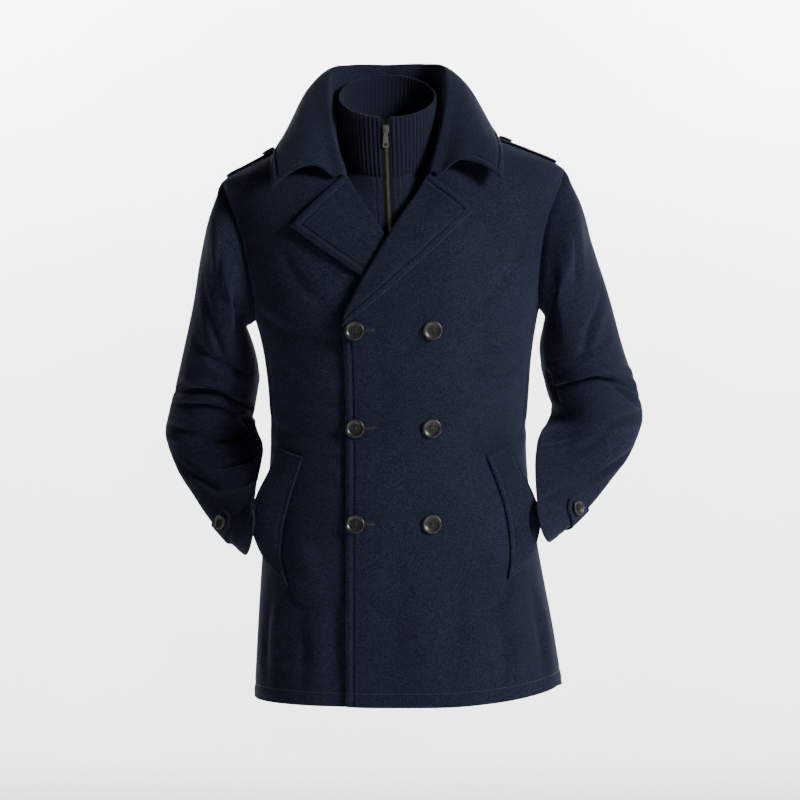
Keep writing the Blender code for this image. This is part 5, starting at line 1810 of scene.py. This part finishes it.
# ---------- zipped insert
@dataclass
class ZippedInsert:
    """The insert in the neck: two cloth halves, a rib-knit collar, and a closed zip."""

    finishes: Finishes
    stitches: Stitches
    top: float = -77.0
    bottom: float = -212.0
    depth: float = 10.0
    centre: float = -7.0
    half_width: float = 6.5
    tape_start: float = 1.6
    tape_wall: float = 1.2
    insets: tuple[tuple[float, float], ...] = ((4.0, 0.3), (11.0, 0.2))
    knit_rows: int = 30
    rib_columns: int = 10
    ribs: int = 66
    courses: float = 56.0
    rib_height: float = 1.9
    wall: float = 2.4
    slider_height: float = -10.0
    tooth_pitch: float = 2.6
    tooth_size: tuple[float, float, float] = (1.85, 0.85, 0.46)
    tooth_bevel: tuple[float, float, float] = (0.86, 1.35, 0.62)

    @staticmethod
    def zip_x(height: Array) -> Array:
        """The zip's x: it leans towards the wearer's right at the top."""
        return -9.5 + 9.0 * np.clip((10 - np.asarray(height, float)) / 220, 0, 1)

    def ring(self, share: Array | float, angle: Array) -> Array:
        """Points of the knitted collar's plain face, an ellipse at every height.

        Args:
            share: places up it, 0 to 1.
            angle: places round it in degrees, 0 at the front.

        Returns:
            The points.
        """
        turned = np.radians(angle)
        x = self.centre + RIBBED.at("half", share) * np.sin(turned)
        front_y, back_y = RIBBED.at("front_y", share), RIBBED.at("back_y", share)
        front_z, back_z = RIBBED.at("front_z", share), RIBBED.at("back_z", share)
        y = (front_y + back_y) / 2 - (back_y - front_y) / 2 * np.cos(turned)
        z = (front_z + back_z) / 2 - (back_z - front_z) / 2 * np.cos(turned)
        return np.stack(np.broadcast_arrays(x, y, z), axis=-1)

    def plain_y(self, height: Array) -> Array:
        """Depth of the insert's plain cloth along the zip."""
        turn = FORM.turn_at(self.zip_x(height), height)
        return FORM.front(Side.RIGHT, turn, height)[..., 1] + self.depth

    def front_y(self, height: Array) -> Array:
        """Depth of the insert's front along the zip, on the ribs and then on the cloth.

        Args:
            height: heights on the zip.

        Returns:
            The y of each.
        """
        bottom = RIBBED.column("front_z")[0]
        share = np.clip((height - bottom) / np.ptp(RIBBED.column("front_z")), 0, 1)
        join = 1 - ease((self.top - height) / (self.top - self.bottom), 0, 0.45)
        start = RIBBED.column("front_y")[0] - self.plain_y(np.array(self.top))
        return np.where(height > self.top, RIBBED.at("front_y", share),
                        self.plain_y(height) + join * start)

    def bib(self, side: Side) -> None:
        """Build one half of the insert, from the zip out under the front.

        Args:
            side: the half.
        """
        down = spaced(140, 3.6, 4.0)
        across = spaced(50, 2.6, 14.0)
        zip_x = self.zip_x(self.top + (self.bottom - self.top) * down)
        reach = (BIB.at("reach", down) - self.half_width)[:, None]
        x = zip_x[:, None] + side.sign * (self.half_width + SEAM + reach * across)
        angle = np.degrees(np.arcsin((x[0] - self.centre) / RIBBED.column("half")[0]))
        ring = self.ring(0.0, angle)
        first = ring[:, 2] - 2 * SEAM
        z = first + (self.bottom - first) * down[:, None]
        points = FORM.front(Side.RIGHT, FORM.turn_at(x, z), z)
        points[..., 1] = points[..., 1] + self.depth
        join = (1 - ease(down, 0, 0.45))[:, None]
        points[..., 1] = points[..., 1] + join * (ring[:, 1] - points[0, :, 1])
        edge = edge_distance(points, Border.FIRST_COLUMN)
        lift = sum(stitched(edge, inset, 0.5, puff) for inset, puff in self.insets)
        shell = Shell(points, flip=not side.mirrored).raised(lift)
        shell.sew(f"bib_{side.value}", self.finishes, (0.064, 0.150), 0.0079)
        for inset, _ in self.insets:
            self.stitches.row(contour(shell.points, edge, inset, 1), 3.2)

    def knit(self) -> None:
        """Build the ribbed collar: rounded ribs, fading as the knit turns over its top edge."""
        columns = self.ribs * self.rib_columns + 1
        share = np.linspace(0, 1, self.knit_rows)[:, None]
        zip_x = self.zip_x(RIBBED.at("front_z", share)) - self.centre
        half = RIBBED.at("half", share)
        start = np.degrees(np.arcsin((zip_x + self.half_width + SEAM) / half))
        end = 360 + np.degrees(np.arcsin((zip_x - self.half_width - SEAM) / half))
        place = np.linspace(0, 1, columns)[None, :]
        plain = self.ring(share, start + (end - start) * place)
        outward = level(plain - plain.mean(axis=1, keepdims=True))
        wave = np.abs(np.sin(math.pi * self.ribs * place)) ** 0.7
        fade = 1 - 0.5 * ease(share, 0.93, 1)
        lip = 1.1 * ease(share, 0.0, 0.06) - 1.1 * ease(share, 0.94, 1.0)
        outer = plain + outward * (self.rib_height * wave * fade - 0.7 + 0.6 * lip)[..., None]
        shell = Shell(outer, thickness=self.wall)
        shell.normals = outward
        shell.inside = plain - outward * (self.wall - self.rib_height * 0.35 * wave)[..., None]
        obj = shell.build("knit_collar", self.finishes.knit, "navy_rib_knit", (0.40, 0.094),
                          0.0370, "rib_collar", "stretched")
        layer = obj.data.uv_layers.new(name="knit")
        grid = np.stack(np.broadcast_arrays(place * self.ribs, share * self.courses), axis=-1)
        corners = np.zeros(len(obj.data.loops), dtype=np.int64)
        obj.data.loops.foreach_get("vertex_index", corners)
        places = grid.reshape(-1, 2)[corners % (self.knit_rows * columns)]
        layer.data.foreach_set("uv", places.astype(np.float32).ravel())

    def tape(self, side: Side) -> None:
        """Build one tape of the zip, from beside its middle to the cloth.

        Args:
            side: the tape's side.
        """
        height = np.linspace(self.bottom + 2, RIBBED.column("front_z")[-1] - 3, 80)[:, None]
        ends = sorted((side.sign * self.tape_start, side.sign * self.half_width))
        x = self.zip_x(height) + np.linspace(*ends, 6)[None, :]
        points = np.stack(np.broadcast_arrays(x, self.front_y(height), height), axis=-1)
        name = f"zip_tape_{side.value}"
        Shell(points, thickness=self.tape_wall).build(
            f"woven_{name}", self.finishes.tape, "black_tape", (0.010, 0.216), 0.0014, name)

    def teeth(self) -> None:
        """Build the chain: interlocked metal teeth, each two crossed blocks."""
        height = np.arange(self.bottom + 4, self.slider_height - 6.2, self.tooth_pitch / 2)
        side = np.where(np.arange(len(height)) % 2 == 0, 1.0, -1.0)
        x = self.zip_x(height) + side * 0.75
        middle = np.stack([x, self.front_y(height) - 0.55, height], axis=-1)
        corners = np.array([(a, b, c) for c in (-1, 1) for b in (-1, 1) for a in (-1, 1)], float)
        block = corners * np.array(self.tooth_size)
        points = np.concatenate([block, block * np.array(self.tooth_bevel)])
        box = np.array([(0, 2, 3, 1), (4, 5, 7, 6), (0, 1, 5, 4), (2, 6, 7, 3), (0, 4, 6, 2),
                        (1, 3, 7, 5)])
        faces = np.concatenate([box, box + len(block)])
        faces = faces[None] + (np.arange(len(middle)) * len(points))[:, None, None]
        mesh = new_mesh("zip_teeth", middle[:, None] + points[None],
                        faces.reshape(-1, 4).tolist(), self.finishes.metal)
        mesh.shade_flat()
        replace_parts(put_piece("zip_teeth", mesh), "zip_chain")

    def build(self) -> None:
        """Build the insert and its zip."""
        for side in Side:
            self.bib(side)
        self.knit()
        for side in Side:
            self.tape(side)
        self.teeth()


# ---------- buttons
@dataclass
class ButtonSet:
    """Four-hole horn buttons with their thread, and the worked buttonholes beside them."""

    finishes: Finishes
    trimmings: Trimmings
    rows: tuple[float, ...] = (-287.0, -419.0, -549.0)
    columns: dict[Side, float] = field(default_factory=lambda: {Side.RIGHT: -49.0, Side.LEFT: 53.0})
    front_size: float = 26.0
    small_size: float = 20.0
    front_gap: float = 0.8
    small_gap: float = 0.7
    segments: int = 64
    hole: float = 1.15
    hole_circle: float = 3.0
    thread_rings: int = 13
    thread_sides: int = 8
    thread_radius: float = 0.36
    strands: tuple[tuple[float, float], ...] = ((45, -0.35), (45, 0.35), (135, -0.35), (135, 0.35))
    strap_button: float = 164.0
    cuff_button: float = 70.0
    slot_x: float = -37.0
    slot_length: float = 27.0
    slot_lift: float = 0.35
    section: tuple[tuple[float, float], ...] = (
        (0.00, 2.05), (0.30, 2.05), (0.56, 2.10), (0.66, 2.35), (0.72, 2.95), (0.78, 3.55),
        (0.84, 3.88), (0.90, 3.90), (0.955, 3.60), (0.990, 3.10), (1.00, 2.60), (0.985, 2.10),
        (0.93, 1.30), (0.86, 0.55), (0.80, 0.15), (0.76, 0.02), (0.50, 0.0), (0.00, 0.0),
    )

    def turned(self, name: str, radius: float) -> bpy.types.Object:
        """A button without holes, turned from its section of shares of the radius and heights.

        Args:
            name: its name.
            radius: its radius.

        Returns:
            Its object.
        """
        profile = np.array([(share * radius, height) for share, height in self.section])
        angle = np.arange(self.segments) * 2 * math.pi / self.segments
        rings = profile[1:-1]
        x = rings[:, :1] * np.cos(angle)
        y = rings[:, :1] * np.sin(angle)
        z = np.broadcast_to(rings[:, 1:], x.shape)
        ends = np.array([[0, 0, profile[0, 1]], [0, 0, profile[-1, 1]]])
        points = np.concatenate([np.stack([x, y, z], axis=-1).reshape(-1, 3), ends])
        faces = capped_faces(len(rings), self.segments)
        return put(name, new_mesh(name, points, faces, self.finishes.horn))

    def mesh(self, name: str, diameter: float) -> bpy.types.Mesh:
        """A turned button with four holes drilled through it.

        Args:
            name: its name.
            diameter: its diameter.

        Returns:
            Its mesh, standing on the origin and facing up.
        """
        turned = self.turned(name, diameter / 2)
        drill = bpy.data.meshes.new(f"{name}_drill")
        shape = bmesh.new()
        for corner in range(4):
            spin = math.radians(45 + 90 * corner)
            place = Vector((math.cos(spin), math.sin(spin), 0.0)) * self.hole_circle * MM
            bmesh.ops.create_cone(shape, cap_ends=True, segments=20, radius1=self.hole * MM,
                                  radius2=self.hole * MM, depth=20 * MM,
                                  matrix=Matrix.Translation(place))
        shape.to_mesh(drill)
        shape.free()
        drills = put(f"{name}_drill", drill)
        cut = turned.modifiers.new("holes", "BOOLEAN")
        cut.object = drills
        cut.operation = "DIFFERENCE"
        cut.solver = "EXACT"
        bpy.context.view_layer.update()
        graph = bpy.context.evaluated_depsgraph_get()
        result = bpy.data.meshes.new_from_object(turned.evaluated_get(graph))
        bpy.data.objects.remove(turned, do_unlink=True)
        bpy.data.objects.remove(drills, do_unlink=True)
        result.shade_smooth()
        result.set_sharp_from_angle(angle=math.radians(38))
        result.materials.clear()
        result.materials.append(self.finishes.horn)
        return result

    def button(self, node: str, mesh: bpy.types.Mesh, point: Array, normal: Array) -> None:
        """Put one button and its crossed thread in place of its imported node.

        Args:
            node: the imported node.
            mesh: the button's mesh.
            point: where its underside stands.
            normal: the direction that it faces.
        """
        turn = Vector(normal).to_track_quat("Z", "Y").to_matrix().to_4x4()
        place = Matrix.Translation(Vector(point) * MM) @ turn
        name = f"horn_{node}"
        copy = mesh.copy()
        copy.transform(place)
        copy.name = name
        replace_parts(put_piece(name, copy), node)
        self.thread(f"thread_{node}", place)

    def thread(self, name: str, place: Matrix) -> None:
        """Two crossed pairs of thread between a button's holes, bowed over its middle.

        Args:
            name: the piece's name.
            place: where the button stands and how it is turned.
        """
        part = np.linspace(0, 1, self.thread_rings)
        angle = (np.arange(self.thread_sides) * 2 * math.pi / self.thread_sides)[:, None, None]
        points, faces = [], []
        for turn, shift in self.strands:
            along = (part - 0.5) * 2 * (self.hole_circle + 0.1)
            bow = 2.60 - 1.9 * np.abs(part * 2 - 1) ** 6 + 0.28 * (turn > 90)
            spin = math.radians(turn)
            ahead = np.array([math.cos(spin), math.sin(spin), 0.0])
            beside = np.array([-ahead[1], ahead[0], 0.0])
            line = along[:, None] * ahead + beside * shift + bow[:, None] * UP
            over = np.cross(beside, unit(np.gradient(line, axis=0)))
            circle = beside * np.cos(angle) + over[None] * np.sin(angle)
            tube = (line[None] + self.thread_radius * circle).swapaxes(0, 1)
            faces += capped_faces(self.thread_rings, self.thread_sides, sum(map(len, points)))
            points += [tube.reshape(-1, 3), line[:1], line[-1:]]
        mesh = new_mesh(name, np.concatenate(points), faces, self.finishes.button_thread)
        mesh.transform(place)
        put_piece(name, mesh)

    def buttonhole(self, name: str, height: float) -> None:
        """A worked buttonhole in the left front: a wrapped cord round a narrow slot.

        Args:
            name: the piece's name.
            height: its height.
        """
        around = np.linspace(0, 2 * math.pi, 61)[:-1]
        straight = (self.slot_length / 2 - 1.2) * np.clip(np.cos(around) * 1.25, -1, 1)
        ring_x = self.slot_x + straight + np.cos(around)
        ring_z = height + 1.25 * np.sin(around)
        turn = FORM.turn_at(ring_x, ring_z)
        path = FORM.front(Side.LEFT, turn, ring_z, self.slot_lift)
        forward = unit(np.roll(path, -1, axis=0) - np.roll(path, 1, axis=0))
        normal = FORM.normal(turn, ring_z)
        beside = unit(np.cross(forward, normal))
        angle = (np.arange(self.thread_sides) * 2 * math.pi / self.thread_sides)[:, None]
        wrap = 0.75 + 0.12 * np.cos(np.arange(len(around)) * math.pi)
        circle = beside[:, None] * np.cos(angle) + normal[:, None] * np.sin(angle)
        tube = path[:, None] + circle * wrap[:, None, None]
        index = closed(np.arange(tube[..., 0].size).reshape(tube.shape[:2]))
        index = np.concatenate([index, index[:1]], axis=0)
        mesh = new_mesh(name, tube, grid_faces(index)[:, ::-1].tolist(),
                        self.finishes.button_thread)
        put_piece(name, mesh)

    def build(self) -> None:
        """Build the buttons, their thread and the buttonholes."""
        large = self.mesh("front_button", self.front_size)
        small = self.mesh("small_button", self.small_size)
        for side, x in self.columns.items():
            for number, height in enumerate(self.rows, start=1):
                turn = FORM.turn_at(x, height)
                point = FORM.front(Side.LEFT, turn, np.array(height), self.front_gap)
                self.button(f"button_{side.value}_{number}", large, point,
                            FORM.normal(turn, height))
        for number, height in enumerate(self.rows, start=1):
            self.buttonhole(f"buttonhole_{number}", height)
        sleeves = self.trimmings.sleeves
        around = np.array([self.cuff_button])
        along = self.trimmings.tab_along - self.trimmings.tab_slant * around
        for side in Side:
            point = sleeves.surface(side, along, around, REST + CLOTH + self.small_gap)[0]
            self.button(f"button_cuff_{side.value}", small, point,
                        sleeves.normal(side, along, around)[0])
            seam = float(self.trimmings.strap_height(side, self.strap_button))
            turn = side.sign * 90.0
            normal = FORM.normal(turn, seam)
            lift = self.trimmings.strap_lift + CLOTH + self.small_gap
            self.button(f"button_epaulette_{side.value}", small,
                        FORM.point(turn, seam) + normal * lift, normal)


# ---------- studio
@dataclass(frozen=True)
class Lamp:
    """A soft square light that faces a target; lengths in metres and power in watts."""

    name: str
    place: tuple[float, float, float]
    target: tuple[float, float, float]
    size: float
    power: float

    def build(self) -> None:
        """Hang the light."""
        lamp = bpy.data.lights.new(self.name, "AREA")
        lamp.shape = "SQUARE"
        lamp.size = self.size
        lamp.energy = self.power
        obj = put(self.name, lamp)
        obj.location = self.place
        aim = Vector(self.target) - Vector(self.place)
        obj.rotation_euler = aim.to_track_quat("-Z", "Y").to_euler()


@dataclass
class Studio:
    """A pale floor and backdrop, soft lights and the camera, all in metres."""

    floor: float = -1.47
    wall: float = 4.8
    bend: float = 1.2
    room_light: float = 0.11
    background: float = 1.7
    camera_at: tuple[float, float, float] = (0.0108, -3.130, -0.381)
    lens: float = 100.0
    lamps: tuple[Lamp, ...] = (
        Lamp("key", (2.85, -2.30, 1.10), (0.0, 0.0, -0.35), 0.9, 262.0),
        Lamp("fill", (-2.0, -3.4, 0.3), (0.0, 0.0, -0.35), 1.6, 2.5),
        Lamp("wall_left", (2.1, 2.6, 1.9), (2.1, 4.8, 1.9), 2.0, 620.0),
        Lamp("wall_right", (-2.1, 2.6, 1.9), (-2.1, 4.8, 1.9), 2.0, 620.0),
    )

    def sweep(self) -> None:
        """Build the backdrop: a floor that curves up into a wall behind."""
        turn = np.linspace(0, math.pi / 2, 25)
        y = np.concatenate([[-7.0, 2.0], self.wall - self.bend * (1 - np.sin(turn)), [self.wall]])
        z = np.concatenate([[0.0, 0.0], self.bend * (1 - np.cos(turn)), [7.5]]) + self.floor
        x = np.linspace(-9, 9, 11)
        points = np.stack(np.broadcast_arrays(x[None, :], y[:, None], z[:, None]), axis=-1)
        index = np.arange(points[..., 0].size).reshape(points.shape[:2])
        mesh = new_mesh("backdrop", points / MM, grid_faces(index).tolist(), PaperFinish().build())
        put("backdrop", mesh)

    def surroundings(self) -> None:
        """Make the world: a dim white room that the camera sees as a pale background."""
        world = bpy.data.worlds.new("pale_room")
        world.use_nodes = True
        nodes, links = world.node_tree.nodes, world.node_tree.links
        room = nodes["Background"]
        distance = nodes.new("ShaderNodeBackground")
        for shader, strength in ((room, self.room_light), (distance, self.background)):
            shader.inputs["Color"].default_value = (1.0, 1.0, 1.0, 1.0)
            shader.inputs["Strength"].default_value = strength
        seen = nodes.new("ShaderNodeLightPath")
        mixed = nodes.new("ShaderNodeMixShader")
        links.new(seen.outputs["Is Camera Ray"], mixed.inputs["Fac"])
        links.new(room.outputs["Background"], mixed.inputs[1])
        links.new(distance.outputs["Background"], mixed.inputs[2])
        links.new(mixed.outputs["Shader"], nodes["World Output"].inputs["Surface"])
        bpy.context.scene.world = world

    def build(self) -> None:
        """Set up the floor, surroundings, lights and camera."""
        self.sweep()
        self.surroundings()
        for lamp in self.lamps:
            lamp.build()
        lens = bpy.data.cameras.new("camera")
        lens.lens = self.lens
        lens.sensor_width = 36.0
        camera = put("camera", lens)
        camera.location = self.camera_at
        camera.rotation_euler = (math.radians(90), 0.0, 0.0)
        bpy.context.scene.camera = camera


def dress_metal(finishes: Finishes) -> None:
    """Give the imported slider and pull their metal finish.

    Args:
        finishes: the coat's finishes.
    """
    for node in ("zip_slider", "zip_pull"):
        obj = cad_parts[node]
        obj.data.materials.clear()
        obj.data.materials.append(finishes.metal)


def main() -> None:
    """Build the dressed coat and its studio."""
    logging.basicConfig(level=logging.INFO, format="%(name)s: %(message)s")
    finishes = Finishes()
    stitches = Stitches()
    sleeves = Sleeves(finishes)
    trimmings = Trimmings(finishes, stitches, sleeves)
    parts = (Torso(finishes, stitches), sleeves, CollarAndLapels(finishes, stitches), trimmings,
             ZippedInsert(finishes, stitches), ButtonSet(finishes, trimmings))
    for part in parts:
        part.build()
        LOG.info("%s built", type(part).__name__)
    stitches.build("seam_stitches", finishes.seam_thread, "navy_melton")
    LOG.info("%d rows of stitches built", len(stitches.starts))
    dress_metal(finishes)
    Studio().build()


if __name__ == "__main__":
    main()
